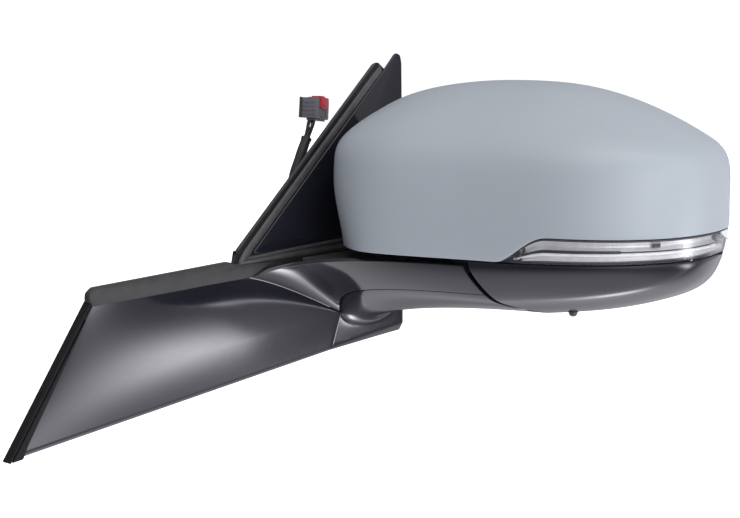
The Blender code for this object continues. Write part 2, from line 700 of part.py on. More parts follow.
def rear_bezel():
    rim = rim_outline(72)
    angles = np.arctan2(rim[:, 1] - GLASS_CENTRE[1], rim[:, 0] - GLASS_CENTRE[0])
    outer = polar(rim, angles)
    inner = polar(smooth_loop(OPENING, 240), angles)
    loops = ((outer - 0.9, 45.5), (outer - 1.1, 47.2), (outer - 2.6, 48.0), (inner + 1.6, 47.4),
             (inner, 46.0), (inner, BEZEL_DEPTH))
    grid = []
    for radii, v in loops:
        flat = ring_at(angles, radii)
        grid.append([(u, v, z) for u, z in np.concatenate([flat, flat[:1]])])
    sheet("rear_bezel", grid, (0.0, 0.0, 0.0), SATIN, FOLD_AXIS, wall=1.6)


def glass_outline(inset, count=56):
    """The opening's outline moved in by inset, measured square to it."""
    angles = np.linspace(-math.pi, math.pi, count, endpoint=False)
    opening = smooth_loop(OPENING, 480)
    limits = polar(opening, angles)
    radii = []
    for angle, limit in zip(angles, limits):
        tries = np.linspace(0.3, 1.0, 280) * limit
        points = ring_at(angle, tries)
        gaps = np.linalg.norm(points[:, None] - opening[None], axis=2).min(axis=1)
        radii.append(tries[gaps >= inset][-1])
    return ring_at(angles, np.array(radii))


def mirror_pieces():
    tilt = empty("tilt_axis", GLASS_PIVOT, parent=FOLD_AXIS)
    swing = empty("swing_axis", (0.0, 0.0, 0.0), parent=tilt)
    u0, v0, z0 = GLASS_PIVOT
    back = tuple(-c for c in GLASS_PIVOT)
    edge = [tuple(p) for p in glass_outline(5.6)]
    plate("mirror_glass", edge, GLASS_V - 2.2, GLASS_V, "Y", MIRROR, swing, place=back)
    plate("heater_pad", [tuple(p) for p in glass_outline(10.6)], GLASS_V - 3.0, GLASS_V - 2.5, "Y",
          FOIL, swing, place=back)
    carrier = plate("glass_carrier", [tuple(p) for p in glass_outline(7.0)], GLASS_V - 7.5,
                    GLASS_V - 3.3, "Y", SATIN, swing, place=back)
    hub = rod("carrier_hub_form", 12.0, v0 + 4.8, GLASS_V - 5.0, "Y", (u0, z0), None, swing,
              place=back)
    boolean(carrier, hub, "UNION")
    ring = rod("gimbal_ring", 12.5, v0 - 2.0, v0 + 2.0, "Y", (u0, z0), NYLON, tilt, place=back)
    bore = rod("gimbal_bore_form", 8.0, v0 - 4.0, v0 + 4.0, "Y", (u0, z0), None, tilt, place=back)
    boolean(ring, bore, "DIFFERENCE")


JACKS = (("jack_tilt", 0.0, JACK_LEVER), ("jack_swing", JACK_LEVER, 0.0))


def actuator():
    u0, v0, z0 = GLASS_PIVOT
    outline = [(u0 - 24, z0 - 26), (u0 + 30, z0 - 26), (u0 + 40, z0 - 16), (u0 + 40, z0 + 14),
               (u0 + 14, z0 + 40), (u0 - 14, z0 + 40), (u0 - 30, z0 + 24), (u0 - 30, z0 - 20)]
    holes = [circle(3.2, 16, (u0 + du, z0 + dz)) for _, du, dz in JACKS]
    body = plate("glass_actuator", outline, 6.3, 17.0, "Y", SATIN, FOLD_AXIS, holes=holes)
    post = rod("actuator_post_form", 4.5, 12.0, v0 + 0.5, "Y", (u0, z0), None, FOLD_AXIS)
    boolean(body, post, "UNION")
    for name, du, dz in JACKS:
        jack = rod(name, 2.6, 10.4, GLASS_V - 8.2, "Y", (u0 + du, z0 + dz), NYLON, FOLD_AXIS, 16)
        bevel(jack, 0.9, 2)
    for k, (du, dz) in enumerate(((-20, -18), (28, -18), (-8, 32)), 1):
        rod(f"actuator_screw_{k}", 3.2, 17.3, 19.2, "Y", (u0 + du, z0 + dz), STEEL, FOLD_AXIS, 12)


def head_frame():
    cup = turned("head_frame", ((16.0, 43.6), (16.0, 19.3), (SHAFT_R + 0.35, 19.3),
                                (SHAFT_R + 0.35, 27.0), (13.0, 27.0), (13.0, 43.6)), CAST, FOLD_AXIS)
    arm = box("frame_arm_form", (14.2, -7.0, 23.0), (70.0, 6.0, 41.0), None, FOLD_AXIS)
    spine = plate("frame_spine_form", ((54, 24), (150, 20), (168, 40), (168, 84), (120, 108),
                                       (54, 112)), 1.0, 6.0, "Y", None, FOLD_AXIS,
                  holes=[circle(13, 20, (138, 62)), circle(9, 20, (70, 94))])
    boolean(cup, arm, "UNION")
    boolean(cup, spine, "UNION")


def fold_drive():
    cover = box("fold_drive_cover", (-24.0, -34.0, 44.0), (51.0, 17.0, 74.0), SATIN, FOLD_AXIS)
    inside = box("fold_drive_form", (-22.0, -32.0, 40.0), (49.0, 15.0, 72.0), None, FOLD_AXIS)
    boolean(cover, inside, "DIFFERENCE")
    motor = rod("fold_motor", 9.0, 17.0, 46.0, "X", (WORM_V, GEAR_Z), COPPER, FOLD_AXIS, 24)
    bevel(motor, 1.2, 2)
    worm_axis = empty("worm_axis", (0.0, WORM_V, GEAR_Z), parent=FOLD_AXIS)
    worm = rod("fold_worm", WORM_R - 1.5, -15.0, 16.5, "X", (0.0, 0.0), STEEL, worm_axis, 16)
    thread = rod("worm_thread_form", WORM_R, -9.0, 9.0, "X", (0.0, 0.0), None, worm_axis, 16)
    boolean(worm, thread, "UNION")


def pivot():
    place = (*PIVOT, 0.0)
    turned("pivot_shaft", ((0.0, 70.0), (SHAFT_R - 0.8, 70.0), (SHAFT_R, 69.0),
                            (SHAFT_R, -18.0), (0.0, -18.0)), STEEL, place=place)
    turned("detent_ring", ((17.0, 19.0), (17.0, 11.4), (SHAFT_R + 0.3, 11.4),
                           (SHAFT_R + 0.3, 19.0)), NYLON, place=place)
    turned("spring_retainer", ((11.5, 68.4), (11.5, 64.6), (SHAFT_R + 0.3, 64.6),
                               (SHAFT_R + 0.3, 68.4)), STEEL, place=place, steps=16)
    gear = []
    for k in range(GEAR_TEETH * 4):
        radius = GEAR_R if k % 4 in (0, 1) else GEAR_R - 1.8
        angle = 2 * math.pi * (k + 0.5) / (GEAR_TEETH * 4)
        gear.append((PIVOT[0] + radius * math.cos(angle), PIVOT[1] + radius * math.sin(angle)))
    plate("fold_gear", gear, 56.5, 64.3, "Z", STEEL, holes=[circle(SHAFT_R + 0.3, 24, PIVOT)])
    turns, wire, mean = 5, 1.3, 10.2
    coil = []
    for k in range(turns * 14 + 1):
        angle = 2 * math.pi * k / 14
        rise = 28.8 + wire + (53.0 - 28.8 - 2 * wire) * k / (turns * 14)
        coil.append((PIVOT[0] + mean * math.cos(angle), PIVOT[1] + mean * math.sin(angle), rise))
    tube("pivot_spring", coil, wire, SPRING, resolution=1)


SENSOR, SENSOR_R = (110.0, 0.0), 3.0
rod("temperature_sensor", SENSOR_R, -22.8, -8.0, "Z", SENSOR, SATIN, FOLD_AXIS, 16, SENSOR_R)
rear_bezel()
mirror_pieces()
actuator()
head_frame()
fold_drive()
pivot()


# ---------------------------------------------------------------- sail, seals and harness

SAIL_PANEL = ((-105, 18.5), (54, 146), (68, 158), (73, 156), (74, 150), (64, 24.5), (0, 22))
SAIL_FRAME = ((-122, 12), (-115, 23), (44, 149.5), (49, 151), (60, 143), (66, 120), (62.5, 12),
              (-60, 11))
SAIL_RAIL = ((-121, 12.3), (-107, 17.6), (0, 21.2), (63.3, 23.7), (62.5, 12.3), (-60, 11.6))
FRAME_HOLE = ((-70, 30), (44, 118), (54, 118), (54, 30))


def sail():
    plate("sail_panel", SAIL_PANEL, -1.5, 1.2, "X", GLOSS, SAIL_AXIS)
    plate("sail_rail", SAIL_RAIL, -1.5, 1.2, "X", SATIN, SAIL_AXIS)
    plate("sail_frame", SAIL_FRAME, -5.0, -1.8, "X", SATIN, SAIL_AXIS, holes=[FRAME_HOLE])
    seal_outer = ((-111, 15), (-104, 22), (48, 142), (53, 141), (58, 135), (63, 119), (60, 15))
    seal_inner = ((-93, 20), (-91, 23), (45, 131), (49, 130), (52, 126), (56, 117), (54, 20))
    plate("sail_seal", seal_outer, -10.5, -5.3, "X", RUBBER, SAIL_AXIS, holes=[seal_inner])
    back = ((-58, 43), (45, 126), (48, 126), (50, 122), (53, 114), (51, 43))
    plate("sail_backing", back, -8.5, -5.3, "X", SATIN, SAIL_AXIS)


def door_seals():
    outer = ((-247, 1), (-311, -86.5), (-22, -63.5), (-8, -63), (64, -60), (64, 10), (-60, 10),
             (-108, 2))
    inner = ((-243, -4), (-302, -80), (-22, -58), (-8, -57.5), (58.5, -55), (58.5, 6), (-58, 6),
             (-106, -3))
    plate("door_gasket", outer, SKIN_X, 17.0, "X", RUBBER, holes=[inner])
    tray = ((-241, -6), (-297, -77), (-64, -59), (-64, 2), (-106, -5))
    plate("fin_carrier", tray, SKIN_X + 0.5, 16.0, "X", SATIN)
    strip = ((-246, 2.2), (-249.5, 5), (-249, 9), (-245, 11.5), (-127, 13.5), (-124, 11.0),
             (-84, 10.3), (-88, 8.6), (-106, 3.3))
    plate("belt_strip", strip, 15.0, 21.0, "X", SATIN)
    edge = [(-248.4, 0.4), (-312.4, -86.6), (-314.1, -86.6), (-250.2, 0.9)]
    plate("fin_edge_seal", edge, SKIN_X, 20.5, "X", RUBBER)


def foot_top_plate():
    front = front_rows(9, 60)[0][:, :2]
    front = front[(front[:, 0] > 34.0)]
    inward = np.array([0.10, 1.0])
    front = front + inward * 9.0
    arc = [(PIVOT[0] + (FOLD_RADIUS - 1.2) * math.cos(a), PIVOT[1] + (FOLD_RADIUS - 1.2) * math.sin(a))
           for a in np.linspace(math.radians(-39.0), math.radians(33.5), 14)]
    rear = lower_foot_rows(22, 40, 1)[-1][:, :2]
    rear = rear[(rear[:, 0] > 34.0) & (rear[:, 0] < 150.0)] - np.array([0.0, 4.6])
    outline = [tuple(p) for p in even(front, 12)] + arc[1:-1] + [tuple(p) for p in even(rear, 10)]
    plate("foot_top_plate", outline, 12.0, 14.2, "Z", SATIN, holes=[circle(18.0, 24, PIVOT)])


SLEEVE = ((-4.0, -16.0, 24.0), (-9.0, -16.2, 24.3), (-13.5, -18.0, 28.0), (-15.5, -23.0, 38.0),
          (-16.0, -26.0, 50.0), (-15.8, -24.5, 62.0), (-15.4, -20.0, 73.0), (-15.0, -14.5, 84.0),
          (-15.0, -9.0, 94.0))
WIRES = ((-15.0, -8.8, 94.5), (-15.0, -6.5, 98.5), (-15.0, -4.5, 103.0), (-15.0, -3.0, 106.6))
CLIP = (-16.0, -25.7, 54.0)
CONNECTOR_YAW, CONNECTOR_ROLL = 20.0, -8.0


def harness():
    grommet = rod("harness_grommet", 8.0, -3.5, 8.0, "X", HARNESS_HOLE, RUBBER)
    flare = rod("grommet_flare_form", 10.5, 6.3, 8.0, "X", HARNESS_HOLE, None)
    bore = rod("grommet_bore_form", 4.2, -6.0, 12.0, "X", HARNESS_HOLE, None)
    boolean(grommet, flare, "UNION")
    boolean(grommet, bore, "DIFFERENCE")
    tube("harness_sleeve", smooth_line(SLEEVE, 14), 3.8, SATIN, resolution=2)
    tube("harness_wires", smooth_line(WIRES, 5), 2.4, SATIN, resolution=2)
    plug = empty("connector_axis", (-15.0, 0.5, 116.5), (CONNECTOR_ROLL, 0.0, CONNECTOR_YAW))
    shell = box("connector_housing", (-7.0, -12.0, -8.8), (7.0, 12.0, 6.5), PLUG, plug)
    bevel(shell, 0.8, 1)
    box("connector_lock", (-4.5, 3.0, 6.8), (4.5, 9.0, 9.3), LOCK, plug)
    clip = rod("harness_clip", 7.0, -4.0, 4.0, "Z", (0.0, 0.0), SATIN, place=CLIP)
    clip_bore = rod("clip_bore_form", 5.4, -6.0, 6.0, "Z", (0.0, 0.0), None, place=CLIP)
    arm = box("clip_arm_form", (5.8, -3.0, -4.0), (23.2, 3.0, 4.0), None, place=CLIP)
    boolean(clip, arm, "UNION")
    boolean(clip, clip_bore, "DIFFERENCE")


sail()
door_seals()
foot_top_plate()
harness()
upper_cover()
lower_cover()
indicator()
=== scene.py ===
"""Looks of the left-hand car side mirror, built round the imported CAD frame.

Shape functions work in millimetres in the CAD part's frame and MM turns them into metres when a
mesh is made. +X points away from the door, +Y to the rear of the car and +Z up. Pieces of the
head are described in the head's own frame, with the fold axis at its origin: u outboard, v
rearward, z up. The smooth surfaces follow the same control points as the CAD part, more finely.
"""
import math

import bmesh
import bpy
import numpy as np
from mathutils import Matrix, Vector


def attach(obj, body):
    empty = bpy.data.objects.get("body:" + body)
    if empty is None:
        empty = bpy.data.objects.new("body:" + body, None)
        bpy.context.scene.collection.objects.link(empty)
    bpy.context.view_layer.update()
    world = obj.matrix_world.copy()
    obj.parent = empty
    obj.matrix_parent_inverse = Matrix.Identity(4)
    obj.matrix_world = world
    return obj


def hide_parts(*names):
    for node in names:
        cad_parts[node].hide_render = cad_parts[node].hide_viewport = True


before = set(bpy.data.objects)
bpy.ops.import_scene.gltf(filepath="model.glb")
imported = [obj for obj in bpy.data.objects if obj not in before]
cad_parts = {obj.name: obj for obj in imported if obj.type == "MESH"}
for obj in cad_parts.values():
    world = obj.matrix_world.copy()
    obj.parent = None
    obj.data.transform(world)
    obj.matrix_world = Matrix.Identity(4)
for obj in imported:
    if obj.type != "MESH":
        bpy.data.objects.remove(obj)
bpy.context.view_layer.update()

MM = 0.001

# ---------------------------------------------------------------- camera

IMAGE_WIDTH = 740
FOCAL_PIXELS = 1500.0
SENSOR = 36.0
CAMERA_PLACE = Vector((0.7487, -0.8450, 0.1609))
CAMERA_FORWARD = Vector((-0.6365, 0.7586, -0.1392))

camera_data = bpy.data.cameras.new("camera")
camera_data.sensor_width = SENSOR
camera_data.lens = FOCAL_PIXELS / IMAGE_WIDTH * SENSOR
camera_data.clip_start, camera_data.clip_end = 0.05, 40.0
camera = bpy.data.objects.new("camera", camera_data)
camera.location = CAMERA_PLACE
camera.rotation_mode = "QUATERNION"
camera.rotation_quaternion = CAMERA_FORWARD.to_track_quat("-Z", "Y")
bpy.context.scene.collection.objects.link(camera)
bpy.context.scene.camera = camera

# ---------------------------------------------------------------- dimensions, in millimetres

PIVOT = (92.0, 5.0)             # the fold axis: X, Y
HEAD_YAW = 12.0                 # the head's turn about the fold axis, in degrees
RIM_V = 45.0                    # the head's open rear rim
FOLD_RADIUS = 89.3              # the cylinder about the fold axis at which the foot ends
GAP = 0.5                       # between the lens and the upper cover
CAD_GAP = 1.3                   # between the lens and the lower cover
COVER_WALL = 2.6
FOOT_TOP = 17.5
BEZEL_DEPTH = 18.0
COVER_BOTTOM = 21.8             # the upper cover's lower edge, where there is no lens
LENS_TIP_U = 82.0
LENS_HEIGHT, LENS_OPENING = 18.0, 34.0      # its full height, and the length it takes to open
LENS_LIFT, LENS_LIFT_LENGTH = 1.9, 120.0    # how its lower edge rises
FIN_X = 20.0
SAIL_X, SAIL_LEAN = 21.0, 0.08
GLASS_V = 40.5
FIN_TOP_FRONT = (-247.0, 1.5)   # places in the door's plane: Y, Z
FIN_TIP = (-311.0, -85.5)
SEAM_FOOT = (-22.0, -62.5)
ROOT_TOP = (-108.0, 2.5)
ROOT_SEAM = (-12.0, -34.0)
SENSOR_PLACE = (110.0, 0.0)     # u, v


# ---------------------------------------------------------------- curves

def spline_basis(count, t):
    """Weights of a clamped cubic B-spline's control points at each t from 0 to 1."""
    knots = np.concatenate([np.zeros(3), np.linspace(0.0, 1.0, count - 2), np.ones(3)])
    t = np.clip(np.asarray(t, float), 0.0, 1.0 - 1e-9)[:, None]
    weights = ((knots[:-1] <= t) & (t < knots[1:])).astype(float)
    for degree in range(1, 4):
        start, near = knots[:-degree - 1], knots[degree:-1]
        after, far = knots[1:-degree], knots[degree + 1:]
        rise = np.where(near > start, (t - start) / np.where(near > start, near - start, 1), 0)
        fall = np.where(far > after, (far - t) / np.where(far > after, far - after, 1), 0)
        weights = rise * weights[:, :-1] + fall * weights[:, 1:]
    return weights


def even(line, count):
    """Points evenly spaced along a dense polyline."""
    return part_of(line, count, 0.0, 0.0)


def part_of(line, count, skip, leave):
    """The same, without a length skip at its start and leave at its end."""
    steps = np.linalg.norm(np.diff(line, axis=0), axis=1)
    along = np.concatenate([[0.0], np.cumsum(steps)])
    low, high = min(skip, 0.4 * along[-1]), along[-1] - min(leave, 0.4 * along[-1])
    places = np.linspace(low, high, count)
    return np.stack([np.interp(places, along, line[:, k]) for k in range(line.shape[1])], 1)


def smooth_line(points, count):
    points = np.array(points, float)
    return even(spline_basis(len(points), np.linspace(0, 1, 400)) @ points, count)


def smooth_loop(points, count):
    """A closed smooth outline led by its control points."""
    points = np.array(points, float)
    wrapped = np.concatenate([points[-3:], points, points[:3]])
    dense = []
    for i in range(len(points)):
        a, b, c, d = wrapped[i:i + 4]
        for s in np.linspace(0, 1, 24, endpoint=False):
            dense.append(((1 - s) ** 3 * a + (3 * s ** 3 - 6 * s ** 2 + 4) * b
                          + (-3 * s ** 3 + 3 * s ** 2 + 3 * s + 1) * c + s ** 3 * d) / 6)
    dense.append(dense[0])
    return even(np.array(dense), count + 1)[:-1]


def rounded(corners, radius, steps=6):
    """A closed polygon with its corners rounded. radius is one number, or one for each corner."""
    corners = np.array(corners, float)
    count = len(corners)
    radii = np.broadcast_to(radius, count)
    line = []
    for i in range(count):
        before, here, after = corners[i - 1], corners[i], corners[(i + 1) % count]
        a, b = before - here, after - here
        la, lb = np.linalg.norm(a), np.linalg.norm(b)
        half = math.acos(np.clip(a @ b / (la * lb), -1, 1)) / 2
        reach = min(radii[i] / max(math.tan(half), 1e-3), 0.45 * la, 0.45 * lb)
        first, last = here + a / la * reach, here + b / lb * reach
        for s in np.linspace(0, 1, steps + 1):
            line.append((1 - s) ** 2 * first + 2 * s * (1 - s) * here + s * s * last)
    return np.array(line)


def area_of(line):
    x, y = np.asarray(line).T
    return 0.5 * float(np.sum(x * np.roll(y, -1) - y * np.roll(x, -1)))


def round_trip(outline, count):
    """Points evenly spaced round a closed outline, anticlockwise."""
    line = even(np.concatenate([outline, outline[:1]]), count + 1)[:-1]
    return line if area_of(line) > 0 else line[::-1]


def bezier(a, b, c, d, count):
    t = np.linspace(0.0, 1.0, count)[:, None]
    return (1 - t) ** 3 * a + 3 * t * (1 - t) ** 2 * b + 3 * t * t * (1 - t) * c + t ** 3 * d


def ease(x):
    x = np.clip(x, 0.0, 1.0)
    return x * x * (3.0 - 2.0 * x)


def trimmed(grid, top=0.0, bottom=0.0, left=0.0, right=0.0):
    """A grid drawn back from its borders by these lengths."""
    grid = np.array(grid, float)
    rows, columns = grid.shape[:2]
    grid = np.stack([part_of(grid[:, j], rows, top, bottom) for j in range(columns)], 1)
    return np.stack([part_of(row, columns, left, right) for row in grid])


def normals_of(grid, outward):
    """Unit normals of a grid of points, on the side that outward points to."""
    across, down = np.gradient(grid, axis=1), np.gradient(grid, axis=0)
    normal = np.cross(across, down)
    normal /= np.maximum(np.linalg.norm(normal, axis=2, keepdims=True), 1e-9)
    return normal if (normal @ np.array(outward, float)).mean() > 0 else -normal


# ---------------------------------------------------------------- the head's surface

HEAD_COLUMNS = (
    ((-53.5, 60.0), (-53.5, 22.0), (-53.5, 45.0), 52.0, 26.0),
    ((-54.0, 88.0), (-53.5, 0.0), (-63.0, 32.0), 74.0, 6.0),
    ((-50.0, 110.0), (-50.0, -22.0), (-70.5, 2.0), 86.0, -10.0),
    ((-34.0, 126.5), (-36.0, -34.0), (-66.0, -34.0), 88.5, -15.0),
    ((-6.0, 134.5), (-10.0, -34.5), (-45.0, -62.0), 90.5, -16.0),
    ((26.0, 138.2), (25.0, -33.5), (-8.0, -72.0), 91.0, -14.5),
    ((62.0, 138.6), (62.0, -31.0), (38.0, -71.0), 91.0, -10.5),
    ((100.0, 136.5), (100.0, -26.5), (84.0, -71.5), 91.5, -6.0),
    ((136.0, 127.5), (136.0, -21.0), (128.0, -72.5), 92.0, -1.5),
    ((167.0, 114.5), (167.0, -12.0), (164.0, -61.0), 92.0, 4.0),
    ((190.5, 101.5), (190.0, -2.0), (189.5, -36.0), 90.0, 11.0),
    ((203.0, 93.0), (200.5, 14.0), (202.5, -4.0), 86.0, 23.0),
    ((205.3, 80.0), (205.0, 35.0), (206.0, 25.0), 75.0, 41.0),
    ((205.0, 66.0), (205.0, 50.0), (205.0, 45.0), 63.0, 54.0),
)


def head_net():
    net = []
    for top, bottom, front, shoulder, chin in HEAD_COLUMNS:
        roof = top[1] - shoulder
        face = shoulder - chin
        under = chin - bottom[1]
        rows = (
            (0.0, top[1]), (0.2, top[1] - 0.01 * roof), (0.48, shoulder + 0.74 * roof),
            (0.74, shoulder + 0.40 * roof), (0.905, shoulder + 0.06 * roof),
            (0.965, shoulder - 0.16 * face), (1.0, shoulder - 0.45 * face),
            (0.995, shoulder - 0.72 * face), (0.93, chin + 0.125 * face),
            (0.865, chin + 0.025 * face), (0.815, chin - 0.12 * under),
            (0.63, chin - 0.50 * under), (0.32, bottom[1] + 0.12 * under), (0.0, bottom[1]),
        )
        column = []
        for k, (depth, z) in enumerate(rows):
            down = k / (len(rows) - 1)
            rim_u = top[0] + (bottom[0] - top[0]) * down
            column.append((rim_u + (front[0] - rim_u) * depth,
                           RIM_V + (front[1] - RIM_V) * depth, z))
        net.append(column)
    return np.array(net)


NET = head_net()
DOWN_BASIS = spline_basis(NET.shape[1], np.linspace(0.0, 1.0, 400))


def head_columns(places):
    """The head's outline columns at places from 0, inboard, to 1, outboard, each dense."""
    across = spline_basis(NET.shape[0], places)
    return np.einsum("ck,kjx,dj->cdx", across, NET, DOWN_BASIS)


def column_span(column, upper, lower, rows):
    """The stretch of a column between two heights, each a function of u or None at the rim."""
    index = np.arange(len(column))

    def crossing(height):
        return float(np.interp(0.0, -(column[:, 2] - height(column[:, 0])), index))
    first = 0.0 if upper is None else crossing(upper)
    last = len(column) - 1.0 if lower is None else crossing(lower)
    places = np.linspace(first, max(last, first + 1e-3), 240)
    dense = np.stack([np.interp(places, index, column[:, k]) for k in range(3)], 1)
    return even(dense, rows)


def lens_top(u):
    return COVER_BOTTOM + LENS_HEIGHT * ease((np.asarray(u) - LENS_TIP_U) / LENS_OPENING) ** 0.8


def lens_bottom(u):
    return COVER_BOTTOM + 0.3 + LENS_LIFT * ease((np.asarray(u) - LENS_TIP_U) / LENS_LIFT_LENGTH)


def head_patch(places, upper, lower, rows):
    """A grid of the head's surface, [row][column], at the given columns between two heights."""
    spans = [column_span(c, upper, lower, rows) for c in head_columns(places)]
    return np.swapaxes(np.array(spans), 0, 1)


def place_where(height, axis, value, first, last):
    """The place whose surface point at a height has the given u (axis 0) or v (axis 1)."""
    tries = np.linspace(first, last, 160)
    found = [column_span(c, height, None, 2)[0][axis] for c in head_columns(tries)]
    return float(np.interp(value, found, tries))


LENS_START = place_where(lens_bottom, 0, LENS_TIP_U + 1.2, 0.3, 0.7)
LENS_END = place_where(lens_top, 1, RIM_V - 7.0, 0.6, 0.96)
LOWER_END = place_where(lens_bottom, 1, RIM_V - 2.0, 0.6, 0.96)
LOWER_TRIES = np.linspace(0.28, LOWER_END, 220)


def lower_rows(top_height, rows):
    """Dense columns of the head's lower part, from a height down to the rim's bottom."""
    return np.array([column_span(c, top_height, None, rows) for c in head_columns(LOWER_TRIES)])


def at_radius(line, radius):
    """Where a row of the lower part crosses a cylinder about the fold axis, as an index."""
    distance = np.hypot(line[:, 0], line[:, 1])
    start = int(np.argmin(np.abs(line[:, 0] - 20.0)))
    return float(np.interp(radius, distance[start:], np.arange(start, len(line))))


def take(line, index):
    """Points of a line at fractional indices."""
    base = np.arange(len(line))
    return np.stack([np.interp(index, base, line[:, k]) for k in range(3)], -1)


# ---------------------------------------------------------------- the foot's and the fin's surfaces

YAW = math.radians(HEAD_YAW)
INBOARD = np.array([-math.cos(YAW), -math.sin(YAW), 0.0])


def to_door(points):
    """From the head's frame to the door's frame."""
    p = np.asarray(points, float)
    x = PIVOT[0] + p[..., 0] * math.cos(YAW) - p[..., 1] * math.sin(YAW)
    y = PIVOT[1] + p[..., 0] * math.sin(YAW) + p[..., 1] * math.cos(YAW)
    return np.stack([x, y, p[..., 2]], -1)


def foot_ring(count):
    """The foot's outline at the fold cylinder, from the front top edge down the front, under
    the chin and up the rear, in the door's frame."""
    rows = 160
    dense = lower_rows(lambda u: FOOT_TOP + 0.0 * u, rows)
    front = np.array([take(dense[:, j], at_radius(dense[:, j], FOLD_RADIUS)) for j in range(rows)])
    end = front[-1]
    rear_v, turn = RIM_V - 2.0, 9.0
    rear_u = math.sqrt(FOLD_RADIUS ** 2 - rear_v ** 2)
    chin = front[front[:, 1] < rear_v - turn]
    corner = np.array((rear_u + 1.0, rear_v, end[2] + 1.5))
    rise = np.array([(rear_u, rear_v, z) for z in np.linspace(end[2] + turn, FOOT_TOP, 12)])
    bend = bezier(chin[-1], corner, corner, rise[0], 8)
    return to_door(even(np.concatenate([chin, bend[1:-1], rise]), count))


RING = foot_ring(600)
SEAM_Z = -2.5                   # where the seam between arm and lower cover meets the cylinder
SEAM_INDEX = int(np.argmax(RING[:, 2] < SEAM_Z))
FRONT_ROOTS = ((SAIL_X, *ROOT_TOP), (SAIL_X, -82.0, -4.0), (SAIL_X, -46.0, -19.0), (SAIL_X, *ROOT_SEAM))
FRONT_HANDLES = ((25.0, -56.0, 12.0), (25.0, -50.0, 8.0), (26.0, -42.0, -2.0), (30.0, -30.0, -13.0))
FRONT_REACH = (72.0, 80.0, 90.0, 96.0)
LOWER_ROOTS = ((SAIL_X, *ROOT_SEAM), (SAIL_X, -9.0, -42.0), (SAIL_X, 10.0, -48.0), (SAIL_X, 38.0, -48.0),
               (SAIL_X, 55.0, -41.0), (SAIL_X, 57.5, -22.0), (SAIL_X, 57.0, 9.5))
LOWER_HANDLES = ((30.0, -30.0, -13.0), (27.0, -20.0, -22.0), (26.0, 8.0, -36.0), (27.0, 26.0, -36.0),
                 (27.0, 38.0, -20.0), (27.0, 41.0, -8.0), (27.0, 41.0, FOOT_TOP - 1.0))
LOWER_REACH = (96.0, 92.0, 84.0, 80.0, 78.0, 74.0, 70.0)
FIN_CROWN = 3.2
FLANGE_CORNER = (FIN_X, 64.0, -59.5)
FLANGE = ((FIN_X, *SEAM_FOOT), (FIN_X, -8.0, -62.0), (FIN_X, 18.0, -61.0), (FIN_X, 46.0, -60.0),
          *(FLANGE_CORNER,) * 3, (FIN_X, 63.5, -36.0), (FIN_X, 64.0, 9.5))


def lead(points, t):
    """Values at t of a spline led by points or by numbers."""
    points = np.array(points, float)
    if points.ndim == 1:
        points = points[:, None]
    return spline_basis(len(points), t) @ points


def front_rows(rows, count):
    """Rows of the arm's front from the door to the fold cylinder, top row first."""
    t = np.linspace(0.0, 1.0, rows)
    starts = even(RING[:SEAM_INDEX + 1], rows)
    roots, handles = lead(FRONT_ROOTS, t), lead(FRONT_HANDLES, t)
    reach = lead(FRONT_REACH, t)
    return np.array([bezier(roots[i], handles[i], starts[i] + INBOARD * reach[i], starts[i], count)
                     for i in range(rows)])


def fin_rows(rows_arm, rows_all, count):
    """Rows of the flat fin from its front edge to the arm's root and to the seam."""
    down = np.linspace(0.0, 1.0, rows_all)
    front = np.stack([np.full(rows_all, FIN_X),
                      FIN_TOP_FRONT[0] + (FIN_TIP[0] - FIN_TOP_FRONT[0]) * down,
                      FIN_TOP_FRONT[1] + (FIN_TIP[1] - FIN_TOP_FRONT[1]) * down], 1)
    roots = lead(FRONT_ROOTS, np.linspace(0.0, 1.0, rows_arm))
    rest = np.linspace(0.0, 1.0, rows_all - rows_arm + 1)[1:, None]
    seam = np.array((SAIL_X, *ROOT_SEAM)) * (1 - rest) + np.array((FIN_X, *SEAM_FOOT)) * rest
    ends = np.concatenate([roots, seam])
    along = np.linspace(0.0, 1.0, count)[None, :, None]
    grid = front[:, None, :] * (1 - along) + ends[:, None, :] * along
    crown = FIN_CROWN * np.sin(np.pi * down)[:, None] * np.sin(np.pi * along[0, :, 0])[None, :] ** 0.8
    grid[:, :, 0] += crown
    return grid


def lower_foot_rows(rows, count, flange_count):
    """Rows of the foot's lower cover, from the fold cylinder to the door and along the flange."""
    t = np.linspace(0.0, 1.0, rows)
    starts = even(RING[SEAM_INDEX:], rows)
    roots, handles, edges = lead(LOWER_ROOTS, t), lead(LOWER_HANDLES, t), lead(FLANGE, t)
    reach = lead(LOWER_REACH, t)
    grid = []
    for i in range(rows):
        arm = bezier(starts[i], starts[i] + INBOARD * reach[i], handles[i], roots[i], count)
        out = roots[i] + (edges[i] - roots[i]) * np.linspace(0, 1, flange_count + 1)[1:, None]
        grid.append(np.concatenate([arm, out]))
    return np.array(grid)


# ---------------------------------------------------------------- materials

def add_node(tree, kind, links=(), **values):
    """A node whose inputs are linked to sockets or set to values."""
    made = tree.nodes.new(kind)
    for key, value in values.items():
        setattr(made, key, value)
    for socket, source in dict(links).items():
        if isinstance(source, bpy.types.NodeSocket):
            tree.links.new(source, made.inputs[socket])
        else:
            made.inputs[socket].default_value = source
    return made


